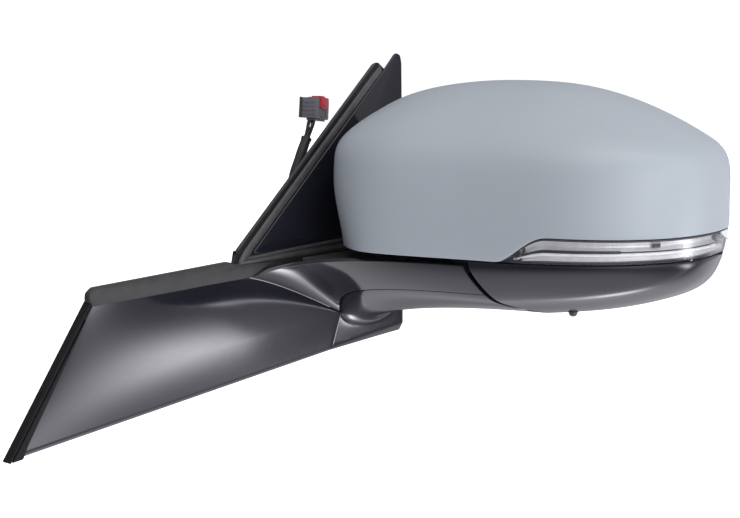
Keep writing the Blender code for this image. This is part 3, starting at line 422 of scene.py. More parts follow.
class Look:
    """A procedural material: one Principled shader and the nodes that vary it. slot holds the name of its
    kind of material, which is not passed on to its pieces."""

    def __init__(self, name, colour, roughness, metallic=0.0, **sockets):
        self.slot = "satin_black"
        self.made = bpy.data.materials.new(name)
        self.made.use_nodes = True
        self.tree = self.made.node_tree
        self.shader = self.tree.nodes["Principled BSDF"]
        self.base = (*colour, 1.0)
        self.shader.inputs["Base Color"].default_value = self.base
        self.shader.inputs["Roughness"].default_value = roughness
        self.shader.inputs["Metallic"].default_value = metallic
        for socket, value in sockets.items():
            self.shader.inputs[socket.replace("_", " ")].default_value = value
        self.made.diffuse_color = self.base
        self.place = self.tree.nodes.new("ShaderNodeTexCoord").outputs["Object"]
        self.last_bump = None

    def node(self, kind, links=(), **values):
        return add_node(self.tree, kind, links, **values)

    def noise(self, size, detail=3.0, stretch=(1.0, 1.0, 1.0)):
        """Noise with features of about size millimetres, 0 to 1."""
        place = self.place
        if stretch != (1.0, 1.0, 1.0):
            place = self.node("ShaderNodeMapping", {"Vector": place, "Scale": stretch}).outputs[0]
        return self.node("ShaderNodeTexNoise", {"Vector": place, "Scale": 1.0 / (size * MM),
                                                "Detail": detail}).outputs["Fac"]

    def cells(self, size):
        return self.node("ShaderNodeTexVoronoi", {"Vector": self.place,
                                                  "Scale": 1.0 / (size * MM)}).outputs["Distance"]

    def ranged(self, value, low, high, start=0.3, end=0.7):
        return self.node("ShaderNodeMapRange", {0: value, 1: start, 2: end, 3: low, 4: high}).outputs[0]

    def tint(self, value, first, second):
        """The base colour runs from one to the other with a value from 0 to 1."""
        mix = self.node("ShaderNodeMix", {0: value, 6: (*first, 1.0), 7: (*second, 1.0)},
                        data_type="RGBA")
        self.tree.links.new(mix.outputs[2], self.shader.inputs["Base Color"])
        return self

    def rough(self, value, low, high):
        self.tree.links.new(self.ranged(value, low, high), self.shader.inputs["Roughness"])
        return self

    def bump(self, value, height, strength=1.0):
        """Relief of height millimetres."""
        links = {"Height": value, "Distance": height * MM, "Strength": strength}
        if self.last_bump:
            links["Normal"] = self.last_bump
        self.last_bump = self.node("ShaderNodeBump", links).outputs["Normal"]
        self.tree.links.new(self.last_bump, self.shader.inputs["Normal"])
        return self


def primer():
    look = Look("satin_primer", (0.396, 0.439, 0.47), 0.4)
    look.tint(look.ranged(look.noise(60.0), 0.0, 1.0), (0.388, 0.431, 0.462), (0.404, 0.447, 0.478))
    look.rough(look.noise(1.6, 4.0), 0.36, 0.46)
    return look.bump(look.noise(0.9, 2.0), 0.006).bump(look.cells(0.35), 0.002)


def gloss_black(name="gloss_black_plastic", low=0.085, high=0.115):
    look = Look(name, (0.0095, 0.0098, 0.0155), (low + high) / 2, IOR=1.5)
    look.rough(look.noise(5.0, 5.0), low, high)
    return look.bump(look.noise(28.0, 1.0), 0.004)


def satin_black(name="satin_black_plastic", shade=0.03, grain=0.35, low=0.42, high=0.56):
    look = Look(name, (shade, shade, shade * 1.02), 0.48)
    look.tint(look.ranged(look.noise(9.0), 0.0, 1.0), (shade * 0.85,) * 3, (shade * 1.15,) * 3)
    look.rough(look.noise(1.2), low, high)
    return look.bump(look.cells(grain), 0.012)


def rubber():
    look = Look("seal_rubber", (0.008, 0.008, 0.009), 0.62, Specular_IOR_Level=0.22)
    look.tint(look.noise(4.0), (0.006, 0.006, 0.007), (0.012, 0.012, 0.013))
    look.rough(look.noise(1.5), 0.52, 0.72)
    return look.bump(look.noise(0.3), 0.01)


def metal(name, colour, low, high, size=0.8, height=0.01, stretch=(1.0, 1.0, 1.0), shading=0.82):
    look = Look(name, colour, (low + high) / 2, 1.0)
    darker = tuple(c * shading for c in colour)
    look.tint(look.ranged(look.noise(6.0), 0.0, 1.0), darker, colour)
    look.rough(look.noise(size, 4.0, stretch), low, high)
    return look.bump(look.noise(size, 3.0, stretch), height)


def plastic(name, colour, low, high, height=0.006):
    look = Look(name, colour, (low + high) / 2)
    darker = tuple(c * 0.85 for c in colour)
    look.tint(look.ranged(look.noise(5.0), 0.0, 1.0), darker, colour)
    look.rough(look.noise(1.0), low, high)
    return look.bump(look.noise(0.4), height)


def clear_lens():
    """Clear acrylic: opaque by as much as it mirrors, and it lets the eye through the rest."""
    look = Look("clear_acrylic", (0.92, 0.94, 0.95), 0.2, 1.0)
    slant = look.node("ShaderNodeLayerWeight", {"Blend": 0.5}).outputs["Facing"]
    mirrored = look.node("ShaderNodeMath", {0: slant, 1: 4.5}, operation="POWER").outputs[0]
    look.tree.links.new(look.ranged(mirrored, 0.035, 0.85, 0.0, 1.0), look.shader.inputs["Alpha"])
    look.made.diffuse_color = (*look.base[:3], 0.3)
    return look.bump(look.noise(14.0, 1.0), 0.004)


PAINT = primer()
GLOSS = gloss_black()
SOFT_GLOSS = gloss_black("gloss_black_cover", 0.17, 0.2)
SATIN = satin_black()
FINE_SATIN = satin_black("fine_satin_plastic", 0.062, 0.2, 0.34, 0.46)
SLEEVE_PVC = plastic("pvc_sleeve", (0.03, 0.032, 0.033), 0.42, 0.55)
RUBBER = rubber()
CAST = metal("cast_alloy", (0.56, 0.56, 0.57), 0.42, 0.62, 0.9, 0.03)
STEEL = metal("zinc_steel", (0.62, 0.62, 0.6), 0.24, 0.4, 0.5, 0.004)
SPRING = metal("spring_steel", (0.27, 0.27, 0.29), 0.28, 0.42, 0.5, 0.003)
REFLECTOR = metal("silvered_reflector", (0.86, 0.86, 0.88), 0.14, 0.24, 2.0, 0.003)
REFLECTOR.shader.inputs["Metallic"].default_value = 0.4
SILVERED = metal("silvered_glass", (0.84, 0.86, 0.87), 0.012, 0.018, 60.0, 0.00002, shading=0.99)
MOTOR = metal("motor_can", (0.5, 0.5, 0.51), 0.28, 0.4, 0.4, 0.004, (1.0, 8.0, 8.0))
NYLON = plastic("natural_nylon", (0.72, 0.71, 0.66), 0.42, 0.56)
FOIL = plastic("heater_foil", (0.55, 0.32, 0.11), 0.3, 0.5)
PLUG = plastic("plug_grey", (0.135, 0.137, 0.15), 0.38, 0.5)
LOCK = plastic("lock_red", (0.5, 0.022, 0.04), 0.36, 0.5)
PIPE = plastic("light_pipe", (0.9, 0.91, 0.92), 0.1, 0.2, 0.002)
LENS = clear_lens()
for slot, looks in (("primer_grey", (PAINT,)), ("gloss_black", (GLOSS, SOFT_GLOSS)),
                    ("seal_rubber", (RUBBER,)), ("zinc_steel", (STEEL,)), ("chrome", (REFLECTOR,)),
                    ("mirror_glass", (SILVERED,)), ("plug_grey", (PLUG,)), ("lock_red", (LOCK,)),
                    ("clear_lens", (PIPE, LENS))):
    for look in looks:
        look.slot = slot


# ---------------------------------------------------------------- meshes

def smooth(mesh, sharp):
    """Smooth shading, with edges kept where the surface turns by more than sharp degrees."""
    mesh.shade_smooth()
    mesh.set_sharp_from_angle(angle=math.radians(sharp))


def link(name, mesh, look, body, nodes=(), slot=None):
    made = bpy.data.objects.new(name, mesh)
    bpy.context.scene.collection.objects.link(made)
    mesh.materials.append(look.made)
    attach(made, body)
    slot or look.slot
    if nodes:
        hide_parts(*nodes)
    return made


def piece(name, verts, faces, look, body, nodes=(), sharp=35.0, slot=None):
    """A mesh from points in millimetres in the door's frame. Its normals are turned outward."""
    mesh = bpy.data.meshes.new(name)
    bm = bmesh.new()
    points = [bm.verts.new(p) for p in np.asarray(verts, float) * MM]
    for face in faces:
        if len(set(face)) > 2:
            bm.faces.new([points[i] for i in dict.fromkeys(face)])
    bmesh.ops.remove_doubles(bm, verts=bm.verts, dist=0.000002)
    bmesh.ops.recalc_face_normals(bm, faces=bm.faces)
    bm.to_mesh(mesh)
    bm.free()
    smooth(mesh, sharp)
    return link(name, mesh, look, body, nodes, slot)


def quads(rows, columns, start=0, close_rows=False, close_columns=False):
    faces = []
    for i in range(rows if close_rows else rows - 1):
        for j in range(columns if close_columns else columns - 1):
            a, b = i * columns + j, i * columns + (j + 1) % columns
            c = ((i + 1) % rows) * columns
            faces.append((start + a, start + b, start + c + (j + 1) % columns, start + c + j))
    return faces


def capped(rows, sides):
    """The faces of a tube of rings, closed at both ends."""
    ends = [tuple(range(sides)), tuple(range((rows - 1) * sides, rows * sides))[::-1]]
    return quads(rows, sides, close_columns=True) + ends


def shell(name, grid, wall, outward, look, body, nodes=(), edge=0.5):
    """A curved wall with rounded borders: the outer surface is the grid, and the border rolls
    over on a radius of edge to an inner surface at the wall's depth."""
    grid = np.asarray(grid, float)
    normal = normals_of(grid, outward)
    rows, columns = grid.shape[:2]
    turns = np.radians(np.linspace(0.0, 90.0, 4))
    insets = np.concatenate([edge * (1 - np.sin(turns)), edge * (1 - np.sin(turns[::-1]))])
    depths = np.concatenate([edge * (1 - np.cos(turns)), wall - edge * (1 - np.cos(turns[::-1]))])
    rings = [border_of(trimmed(grid, *[inset] * 4) - normal * depth)
             for inset, depth in zip(insets[1:], depths[1:])]
    outer = trimmed(grid, *[insets[0]] * 4)
    inner = trimmed(grid, *[insets[-1]] * 4) - normal * depths[-1]
    verts = np.concatenate([outer.reshape(-1, 3), *rings, inner[1:-1, 1:-1].reshape(-1, 3)])
    front = np.arange(rows * columns).reshape(rows, columns)
    around = len(rings[0])
    borders = [border_of(front)]
    borders += [front.size + k * around + np.arange(around) for k in range(len(rings))]
    faces = quads(rows, columns)
    for here, after in zip(borders, borders[1:]):
        faces += zip(here, np.roll(here, -1), np.roll(after, -1), after)
    back = front + front.size + len(rings) * around
    back[1:-1, 1:-1] = back[0, 0] + np.arange((rows - 2) * (columns - 2)).reshape(rows - 2, -1)
    for place, index in zip(border_places(rows, columns), borders[-1]):
        back[place] = index
    faces += [(back[i, j], back[i + 1, j], back[i + 1, j + 1], back[i, j + 1])
              for i in range(rows - 1) for j in range(columns - 1)]
    return piece(name, verts, faces, look, body, nodes)


def border_places(rows, columns):
    top = [(0, j) for j in range(columns - 1)]
    right = [(i, columns - 1) for i in range(rows - 1)]
    bottom = [(rows - 1, j) for j in range(columns - 1, 0, -1)]
    left = [(i, 0) for i in range(rows - 1, 0, -1)]
    return top + right + bottom + left


def border_of(grid):
    """A grid's border in the order of border_places."""
    return np.array([grid[i, j] for i, j in border_places(*grid.shape[:2])])


def outline_normals(line, closed=True):
    """Square to each point of a flat line, to its right, long enough to keep a band's width."""
    line = np.asarray(line, float)
    before, after = np.roll(line, 1, 0), np.roll(line, -1, 0)
    if not closed:
        before[0], after[-1] = 2 * line[0] - line[1], 2 * line[-1] - line[-2]
    a, b = line - before, after - line
    a /= np.maximum(np.linalg.norm(a, axis=1, keepdims=True), 1e-9)
    b /= np.maximum(np.linalg.norm(b, axis=1, keepdims=True), 1e-9)
    side = np.stack([a[:, 1] + b[:, 1], -a[:, 0] - b[:, 0]], 1)
    side /= np.maximum(np.linalg.norm(side, axis=1, keepdims=True), 1e-9)
    straight = np.stack([a[:, 1], -a[:, 0]], 1)
    return side / np.maximum((side * straight).sum(1, keepdims=True), 0.5)


def pad(name, outline, low, high, put, look, body, nodes=(), edge=0.6, crown=0.0, count=160, slot=None):
    """A plate with rounded edges and a front that may be crowned. put takes (a, b, height)."""
    verts, faces = pad_mesh(outline, low, high, put, edge, crown, count)
    return piece(name, verts, faces, look, body, nodes, slot=slot)


def pads(name, outlines, low, high, put, look, body, edge=0.3, count=64):
    """Several plates of one height as one piece."""
    verts, faces = [], []
    for outline in outlines:
        more, sides = pad_mesh(outline, low, high, put, edge, 0.0, count)
        faces += [tuple(i + len(verts) for i in side) for side in sides]
        verts += more.tolist()
    return piece(name, verts, faces, look, body)


def pad_mesh(outline, low, high, put, edge, crown, count):
    line = round_trip(outline, count)
    out = outline_normals(line)
    turns = np.radians(np.linspace(0.0, 90.0, 5))
    rings = [(edge * (1 - math.sin(t)), low + edge * (1 - math.cos(t))) for t in turns]
    rings += [(edge * (1 - math.sin(t)), high - edge * (1 - math.cos(t))) for t in turns[::-1]]
    loops = [(line - out * inset, np.full(count, height)) for inset, height in rings]
    centre = line.mean(axis=0)
    if crown:
        for s in (0.97, 0.9, 0.8, 0.65, 0.5, 0.35, 0.18):
            loops.append((centre + (loops[len(rings) - 1][0] - centre) * s,
                          np.full(count, high + crown * (1 - s * s))))
    verts = np.concatenate([put(flat[:, 0], flat[:, 1], h) for flat, h in loops])
    faces = quads(len(loops), count, close_columns=True)
    faces.append(tuple(range(count - 1, -1, -1)))
    top = (len(loops) - 1) * count
    if crown:
        tip = put(centre[:1], centre[1:], np.array([high + crown]))
        verts = np.concatenate([verts, tip])
        faces += [(top + k, top + (k + 1) % count, len(verts) - 1) for k in range(count)]
    else:
        faces.append(tuple(range(top, top + count)))
    return verts, faces


def band(name, path, profile, put, look, body, nodes=(), closed=True, slot=None):
    """A closed profile of (side, height) carried along a flat path."""
    path = np.asarray(path, float)
    out = outline_normals(path, closed)
    profile = np.asarray(profile, float)
    verts = []
    for point, side in zip(path, out):
        flat = point + side * profile[:, :1]
        verts.append(put(flat[:, 0], flat[:, 1], profile[:, 1]))
    count, sides = len(path), len(profile)
    faces = quads(count, sides, close_rows=True, close_columns=True) if closed else capped(count, sides)
    return piece(name, np.concatenate(verts), faces, look, body, nodes, slot=slot)


def bars(name, lines, profile, put):
    """Straight ribs of one profile on the door side."""
    for number, ends in enumerate(lines, 1):
        band(f"{name}_{number}", even(np.array(ends, float), 4), profile, put, SATIN, "base",
             closed=False)


def frames_along(points):
    """For each point of a line, two directions square to it that don't twist."""
    points = np.asarray(points, float)
    along = np.gradient(points, axis=0)
    along /= np.linalg.norm(along, axis=1, keepdims=True)
    side = np.cross(along[0], (0.0, 0.3, 1.0) if abs(along[0][2]) < 0.9 else (1.0, 0.0, 0.0))
    sides = []
    for direction in along:
        side = side - direction * (side @ direction)
        side = side / np.linalg.norm(side)
        sides.append(side)
    sides = np.array(sides)
    return sides, np.cross(along, sides)


def hose(name, points, radii, look, body, nodes=(), sides=24, bore=None):
    """A round tube along points; radii is one number or one for each point. With a bore it is
    open at both ends."""
    points = np.asarray(points, float)
    first, second = frames_along(points)
    angle = np.linspace(0, 2 * np.pi, sides, endpoint=False)
    ring = np.cos(angle)[None, :, None] * first[:, None] + np.sin(angle)[None, :, None] * second[:, None]
    radii = np.broadcast_to(np.asarray(radii, float), len(points))
    grid = points[:, None] + ring * radii[:, None, None]
    if bore is not None:
        inner = points[:, None] + ring * bore
        grid = np.concatenate([grid, inner[::-1]])
        faces = quads(len(grid), sides, close_rows=True, close_columns=True)
    else:
        faces = capped(len(grid), sides)
    return piece(name, grid.reshape(-1, 3), faces, look, body, nodes)


def lathe(name, profile, frame_of, look, body, nodes=(), sides=48, sharp=35.0):
    """A profile of (radius, height) turned about the axis of frame_of, a 4x4 matrix in mm. A
    radius may be a function of the height and the angle."""
    angle = np.linspace(0, 2 * np.pi, sides, endpoint=False)
    rings = []
    for radius, height in profile:
        around = radius(height, angle) if callable(radius) else np.full(sides, radius)
        rings.append(np.stack([around * np.cos(angle), around * np.sin(angle),
                               np.full(sides, height), np.ones(sides)], 1))
    verts = (np.concatenate(rings) @ np.array(frame_of).T)[:, :3]
    return piece(name, verts, capped(len(profile), sides), look, body, nodes, sharp)


OUT_FRONT, OUT_UP, OUT_DOWN = (0.2, -1.0, 0.0), (0.2, -1.0, 0.3), (0.2, -1.0, -0.3)


def on_head(a, b, height):
    """A point of the head from (u, z) and v, in the door's frame."""
    height = np.broadcast_to(height, np.shape(a))
    return to_door(np.stack([a, height, b], -1))


LEAN = math.atan(SAIL_LEAN)


def on_sail(a, b, height):
    """A point of the sail from (Y, Z) in its leaning plane and its height off it."""
    height = np.broadcast_to(height, np.shape(a))
    return np.stack([SAIL_X + height * math.cos(LEAN) - b * math.sin(LEAN), a,
                     b * math.cos(LEAN) + height * math.sin(LEAN)], -1)


def on_door(a, b, height):
    """A point from (Y, Z) in the door's plane and X."""
    return np.stack([np.broadcast_to(height, np.shape(a)), a, b], -1)


def axis_frame(place, direction):
    """A frame in mm with its Z along direction."""
    turn = Vector(direction).to_track_quat("Z", "Y").to_matrix().to_4x4()
    return Matrix.Translation(Vector(place)) @ turn


def keep(node, look):
    """A CAD node that stays, with a procedural material."""
    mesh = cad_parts[node].data
    mesh.materials.clear()
    mesh.materials.append(look.made)
    smooth(mesh, 30.0)


# ---------------------------------------------------------------- harness

SLEEVE = ((-4.0, -16.0, 24.0), (-9.0, -16.2, 24.3), (-13.5, -18.0, 28.0), (-15.5, -23.0, 38.0),
          (-16.0, -26.0, 50.0), (-15.8, -24.5, 62.0), (-15.4, -20.0, 73.0), (-15.0, -14.5, 84.0),
          (-15.0, -9.0, 94.0))
SLEEVE_R, SLEEVE_BORE = 3.8, 2.9
WIRE_R, WIRE_TWIST = 0.8, 2.2
WIRES = ((-15.2, -17.0, 79.0), (-15.0, -11.5, 89.0), (-15.0, -8.0, 96.0), (-15.0, -5.2, 102.0),
         (-15.0, -3.2, 107.6))
CLIP, GROMMET = (-16.0, -25.7, 54.0), (0.0, -16.0, 24.0)
PLUG_PLACE, PLUG_TURN = (-15.0, 0.5, 116.5), (-8.0, 0.0, 20.0)
WIRE_COLOURS = ((0.012, 0.012, 0.013), (0.02, 0.02, 0.022), (0.30, 0.012, 0.016),
                (0.010, 0.05, 0.03), (0.055, 0.03, 0.018), (0.013, 0.013, 0.015))


def harness():
    route = smooth_line(SLEEVE, 60)
    swell = SLEEVE_R + 0.10 * np.sin(np.linspace(0, 31.0, 60)) * np.linspace(0.2, 1.0, 60)
    swell[-1] = swell[-2] = SLEEVE_R + 0.25
    sleeve = hose("harness_sleeve_skin", route, swell, SLEEVE_PVC, "base", ("harness_sleeve",), sides=28,
                  bore=SLEEVE_BORE)
    bundle = smooth_line(WIRES, 30)
    first, second = frames_along(bundle)
    strands = []
    for k, colour in enumerate(WIRE_COLOURS):
        t = np.linspace(0.0, 1.0, 30)[:, None]
        angle = 2 * np.pi * k / len(WIRE_COLOURS) + WIRE_TWIST * t
        far = 1.75 + 0.55 * ease(np.abs(t - 0.45) * 1.6)
        line = bundle + far * (np.cos(angle) * first + np.sin(angle) * second)
        look = plastic(f"wire_{k + 1}_insulation", colour, 0.34, 0.46, 0.002)
        nodes = ("harness_wires",) if k == 0 else ()
        strands.append(hose(f"harness_wire_{k + 1}", line, WIRE_R, look, "base", nodes, sides=14))
    return sleeve, strands, route


def plug_frame():
    """The connector's frame: its body runs along Y and its wires leave below."""
    turn = Matrix.Rotation(math.radians(PLUG_TURN[2]), 4, "Z") @ Matrix.Rotation(
        math.radians(PLUG_TURN[0]), 4, "X")
    return Matrix.Translation(Vector(PLUG_PLACE)) @ turn


PLUG_AXES = np.array(plug_frame())


def on_plug(axis):
    """Places (a, b, height) with the height along one axis of the plug's frame."""
    def put(a, b, height):
        height = np.broadcast_to(height, np.shape(a))
        points = {"X": (height, a, b), "Y": (a, height, b), "Z": (a, b, height)}[axis]
        local = np.stack([*points, np.ones_like(height)], -1)
        return (local @ PLUG_AXES.T)[..., :3]
    return put


def rectangle(a0, b0, a1, b1, radius):
    return rounded(((a0, b0), (a1, b0), (a1, b1), (a0, b1)), radius)


def connector():
    pieces = []

    def block(name, axis, low, high, span, radius, look=PLUG, nodes=(), edge=0.4):
        pieces.append(pad(name, rectangle(*span, radius), low, high, on_plug(axis), look, "base",
                          nodes, edge=edge, count=96, slot="plug_grey" if look is SATIN else None))
    block("connector_body", "Y", -10.6, 12.0, (-6.6, -8.4, 6.6, 6.1), 1.2, nodes=("connector_housing",))
    block("connector_shroud", "Y", -12.0, -10.4, (-7.0, -8.8, 7.0, 6.5), 1.4, edge=0.3)

    def blocks(name, axis, low, high, spans, radius):
        pieces.append(pads(name, [rectangle(*span, radius) for span in spans], low, high,
                           on_plug(axis), PLUG, "base", edge=0.15))
    blocks("connector_back_ribs", "X", -6.95, -6.3,
           [(-9.8, z - 0.35, 10.6, z + 0.35) for z in (-6.4, -3.2, 0.0, 3.2)], 0.3)
    blocks("connector_keys", "X", 6.3, 6.95,
           [(y - 0.6, -7.6, y + 0.6, -1.6) for y in (-4.0, 1.0, 6.0)], 0.3)
    blocks("connector_front_ribs", "Y", -12.7, -11.9,
           [(-4.6, z - 0.5, 5.2, z + 0.5) for z in (-5.6, -2.6, 0.4, 3.4)], 0.4)
    block("connector_front_plate", "Y", -13.4, -11.8, (-7.4, -8.8, -5.6, 6.7), 0.5, SATIN,
          edge=0.3)
    block("connector_lock_side", "X", 6.5, 8.3, (-7.0, -1.0, 7.0, 7.6), 0.8, LOCK, edge=0.35)
    block("connector_lock_notch", "X", 8.1, 8.8, (-3.6, 0.6, 3.6, 2.6), 0.5, LOCK, edge=0.2)
    block("connector_lever", "X", 6.4, 7.6, (-1.6, -10.6, 2.2, -7.4), 0.6, edge=0.3)
    block("connector_lock_slide", "Z", 6.8, 9.2, (-4.5, 3.0, 4.5, 9.0), 0.8, LOCK,
          ("connector_lock",), 0.35)
    block("connector_lock_face", "Y", 9.2, 12.3, (-4.2, 0.4, 4.2, 6.6), 0.7, LOCK, edge=0.35)
    block("connector_lock_grip", "Z", 6.2, 7.4, (-3.2, -7.0, 3.2, 2.7), 0.6, edge=0.3)
    block("connector_wire_collar", "Z", -10.0, -8.6, (-4.2, -6.6, 4.2, 2.4), 1.8, edge=0.4)
    block("connector_latch", "Y", 11.8, 12.9, (-2.6, -8.6, 2.6, -2.0), 0.5, SATIN, edge=0.25)
    block("connector_latch_foot", "Z", -9.3, -8.3, (-2.6, 8.4, 2.6, 12.7), 0.4, SATIN, edge=0.25)
    return pieces


sleeve, strands, sleeve_route = harness()
plug_pieces = connector()
sleeve_length = float(np.linalg.norm(np.diff(sleeve_route, axis=0), axis=1).sum()) * MM
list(strands)


def clip_and_grommet():
    frame_z = axis_frame(CLIP, (0, 0, 1))
    lathe("harness_clip_ring", ((4.3, -4.0), (6.2, -4.0), (6.8, -3.4), (7.0, -2.0), (7.0, 2.0),
                                (6.8, 3.4), (6.2, 4.0), (4.3, 4.0)), frame_z, SATIN, "base",
          ("harness_clip",), sides=40)
    path = np.array([(CLIP[0] + 6.2, CLIP[1]), (CLIP[0] + 23.0, CLIP[1])])
    profile = rounded(((-3.0, -4.0), (3.0, -4.0), (3.0, 4.0), (-3.0, 4.0)), 0.8, 3)

    def put(a, b, height):
        return np.stack([a, b, np.broadcast_to(height, np.shape(a)) + CLIP[2]], -1)
    band("harness_clip_arm", path, profile, put, SATIN, "base", closed=False)
    frame_x = axis_frame(GROMMET, (1, 0, 0))
    lathe("harness_grommet_bush", ((4.0, -3.5), (5.6, -3.5), (6.6, -3.1), (7.6, -1.6), (8.0, 0.0),
                                   (8.0, 6.3), (10.0, 6.4), (10.5, 6.9), (10.5, 7.4), (10.0, 8.0),
                                   (4.2, 8.0)), frame_x, RUBBER, "base", ("harness_grommet",), sides=56)


clip_and_grommet()


# ---------------------------------------------------------------- head covers

def spread(first, last, count, pull=0.6):
    """Numbers from first to last, closer together near both ends."""
    level = np.linspace(0.0, 1.0, count)
    return first + (last - first) * ((1 - pull) * level + pull * (0.5 - 0.5 * np.cos(np.pi * level)))


FOLD_SLIT = 2.5                 # between the head's lower cover and the foot
CURL, CURL_HEIGHT = 0.9, 7.0    # how the lower cover's top edge turns in under the lens


def shaped_end(grid):
    """Draw the inboard end in towards its lower corner and fill out its shoulder."""
    u, v, z = np.moveaxis(grid, 2, 0)
    near = ease((-8.0 - u) / 46.0) * (1 - ease((v + 6.0) / 46.0))
    grid = grid.copy()
    grid[..., 0] += near * (10.0 * ease((74.0 - z) / 54.0) - 4.5 * np.exp(-((z - 96.0) / 17.0) ** 2))
    return grid


def head_covers():
    grid = head_patch(spread(0.0, 1.0, 190), None, lens_top, 76)
    grid = shaped_end(trimmed(grid, top=1.0, left=1.0, right=1.0))
    shell("upper_cover_skin", to_door(grid), COVER_WALL, OUT_UP, PAINT, "head",
          ("upper_cover",), edge=0.8)
    rows = 56
    dense = lower_rows(lambda u: lens_bottom(u) - CAD_GAP, rows)
    last = len(LOWER_TRIES) - 4.0
    grid = []
    for j in range(rows):
        first = at_radius(dense[:, j], FOLD_RADIUS + FOLD_SLIT)
        grid.append(take(dense[:, j], np.linspace(first, last, 150)))
    grid = trimmed(np.array(grid), bottom=1.0)
    depth = np.cumsum(np.linalg.norm(np.diff(grid, axis=0, prepend=grid[:1]), axis=2), axis=0)
    curl = CURL * np.clip(1 - depth / CURL_HEIGHT, 0, 1) ** 2
    grid = grid - normals_of(grid, OUT_DOWN) * curl[..., None]
    shell("lower_cover_skin", to_door(grid), COVER_WALL, OUT_DOWN, SOFT_GLOSS, "head",
          ("lower_cover",), edge=0.6)


head_covers()


# ---------------------------------------------------------------- indicator

RIM_SHARE = 0.925               # the lens ends and its black upper rim starts here
TRAY_DROP, TRAY_DEPTH = 5.4, 8.2


def strip_height(share):
    """The height at a share of the lens, from 0 at its lower edge to 1 at its upper edge."""
    return lambda u: lens_bottom(u) + share * (lens_top(u) - GAP - lens_bottom(u))


def strip_patch(first, last, upper, lower, rows, columns):
    return head_patch(np.linspace(first, last, columns), strip_height(upper), strip_height(lower), rows)


def sunk(grid, depth):
    """A grid moved in under the head's surface."""
    return grid - normals_of(grid, OUT_FRONT) * np.asarray(depth)


def indicator():
    rim = strip_patch(LENS_START, LENS_END, 1.0, RIM_SHARE, 8, 150)
    shell("indicator_top_rim", to_door(sunk(rim, 0.35)), 2.4, OUT_FRONT, FINE_SATIN, "head",
          edge=0.3)
    lens = strip_patch(LENS_START, LENS_END, RIM_SHARE, 0.0, 26, 150)
    shell("indicator_lens_skin", to_door(lens), 1.6, OUT_FRONT, LENS, "head",
          ("indicator_lens",), edge=0.5)
    span = LENS_END - LENS_START
    inner, outer = LENS_START + 0.05 * span, LENS_END - 0.035 * span

    def part(name, share_in, share_out, upper, lower, depth, look, nodes=(), rows=14,
             columns=220, wall=0.8, flutes=0.0, bowl=0.0, count=70, edge=0.25):
        grid = strip_patch(inner + share_in * (outer - inner), inner + share_out * (outer - inner),
                           upper, lower, rows, columns)
        across = np.linspace(0, 1, rows)[:, None, None]
        along = np.linspace(0, 1, columns)[None, :, None]
        sink = depth + bowl * np.sin(np.pi * across) + flutes * np.abs(np.sin(np.pi * count * along))
        shell(name, to_door(sunk(grid, sink)), wall, OUT_FRONT, look, "head", nodes, edge=edge)
    part("indicator_bowl", 0.02, 1.0, 0.92, 0.53, 2.2, REFLECTOR, ("indicator_reflector",),
         flutes=0.2, bowl=2.4, count=46)
    part("indicator_divider", 0.0, 1.0, 0.52, 0.475, 1.9, SATIN, rows=4, wall=4.0)
    part("indicator_blade", 0.04, 0.43, 0.56, 0.44, 1.62, SATIN, rows=5, columns=80, wall=1.0)
    part("indicator_light_pipe", 0.0, 0.985, 0.46, 0.30, 2.4, PIPE, rows=10,
         flutes=0.12, bowl=-1.0, count=90, wall=1.6)
    part("indicator_trough", 0.02, 1.0, 0.29, 0.10, 2.6, REFLECTOR, rows=10, bowl=1.6, flutes=0.1,
         count=60)
    part("indicator_lower_lip", 0.0, 1.0, 0.095, 0.02, 2.6, FINE_SATIN, rows=5, wall=1.2)
    tray = head_patch(np.linspace(inner, LENS_END - 0.012 * span, 120), strip_height(0.99),
                      lambda u: lens_bottom(u) - TRAY_DROP, 12)
    shell("indicator_tray", to_door(sunk(tray, TRAY_DEPTH)), 1.6, OUT_FRONT, SATIN, "head",
          ("indicator_housing",), edge=0.4)
    end = strip_patch(LENS_END - 0.022 * span, LENS_END - 0.012 * span, 0.9, 0.08, 20, 8)
    shell("indicator_end_wall", to_door(end - normals_of(end, (1.0, -0.2, 0.0)) * 2.2), 2.6,
          (1.0, -0.2, 0.0), SATIN, "head", edge=0.3)
    corner = strip_patch(LENS_END - 0.002 * span, LENS_END, 0.985, 0.03, 20, 2)[:, -1]
    rear = np.stack([corner[:, 0] - 0.1, np.full(20, RIM_V - 1.4), corner[:, 2]], 1)
    share = np.linspace(0.0, 1.0, 8)[None, :, None]
    tab = (corner[:, None] + np.array((0.0, 0.7, 0.0))) * (1 - share) + rear[:, None] * share
    shell("indicator_end_tab", to_door(tab), 1.6, (1.0, 0.2, 0.0), REFLECTOR, "head", edge=0.35)
    for k, share in enumerate((0.05, 0.066, 0.084)):
        place = LENS_START + share * span
        grid = strip_patch(place, place + 0.007 * span, 0.93, 0.06, 16, 5)
        slant = np.linspace(0, 1, 16)[:, None, None] * to_unit(grid) * -3.5
        shell(f"indicator_tip_rib_{k + 1}", to_door(sunk(grid + slant, 2.2)), 2.0, OUT_FRONT,
              SATIN, "head", edge=0.2)
    lamp = strip_patch(LENS_START + 0.585 * span, LENS_START + 0.625 * span, 0.82, 0.64, 12, 24)
    a, b = np.meshgrid(np.linspace(-1, 1, 24), np.linspace(-1, 1, 12))
    dome = 3.4 - 1.2 * np.sqrt(np.clip(1 - 0.9 * np.maximum(np.abs(a), np.abs(b)) ** 2, 0, 1))
    shell("indicator_lamp", to_door(sunk(lamp, dome[..., None])), 1.2, OUT_FRONT, SATIN,
          "head", edge=0.2)


def to_unit(grid):
    """Unit directions along a grid's rows."""
    along = np.gradient(grid, axis=1)
    return along / np.maximum(np.linalg.norm(along, axis=2, keepdims=True), 1e-9)


indicator()


# ---------------------------------------------------------------- mirror side

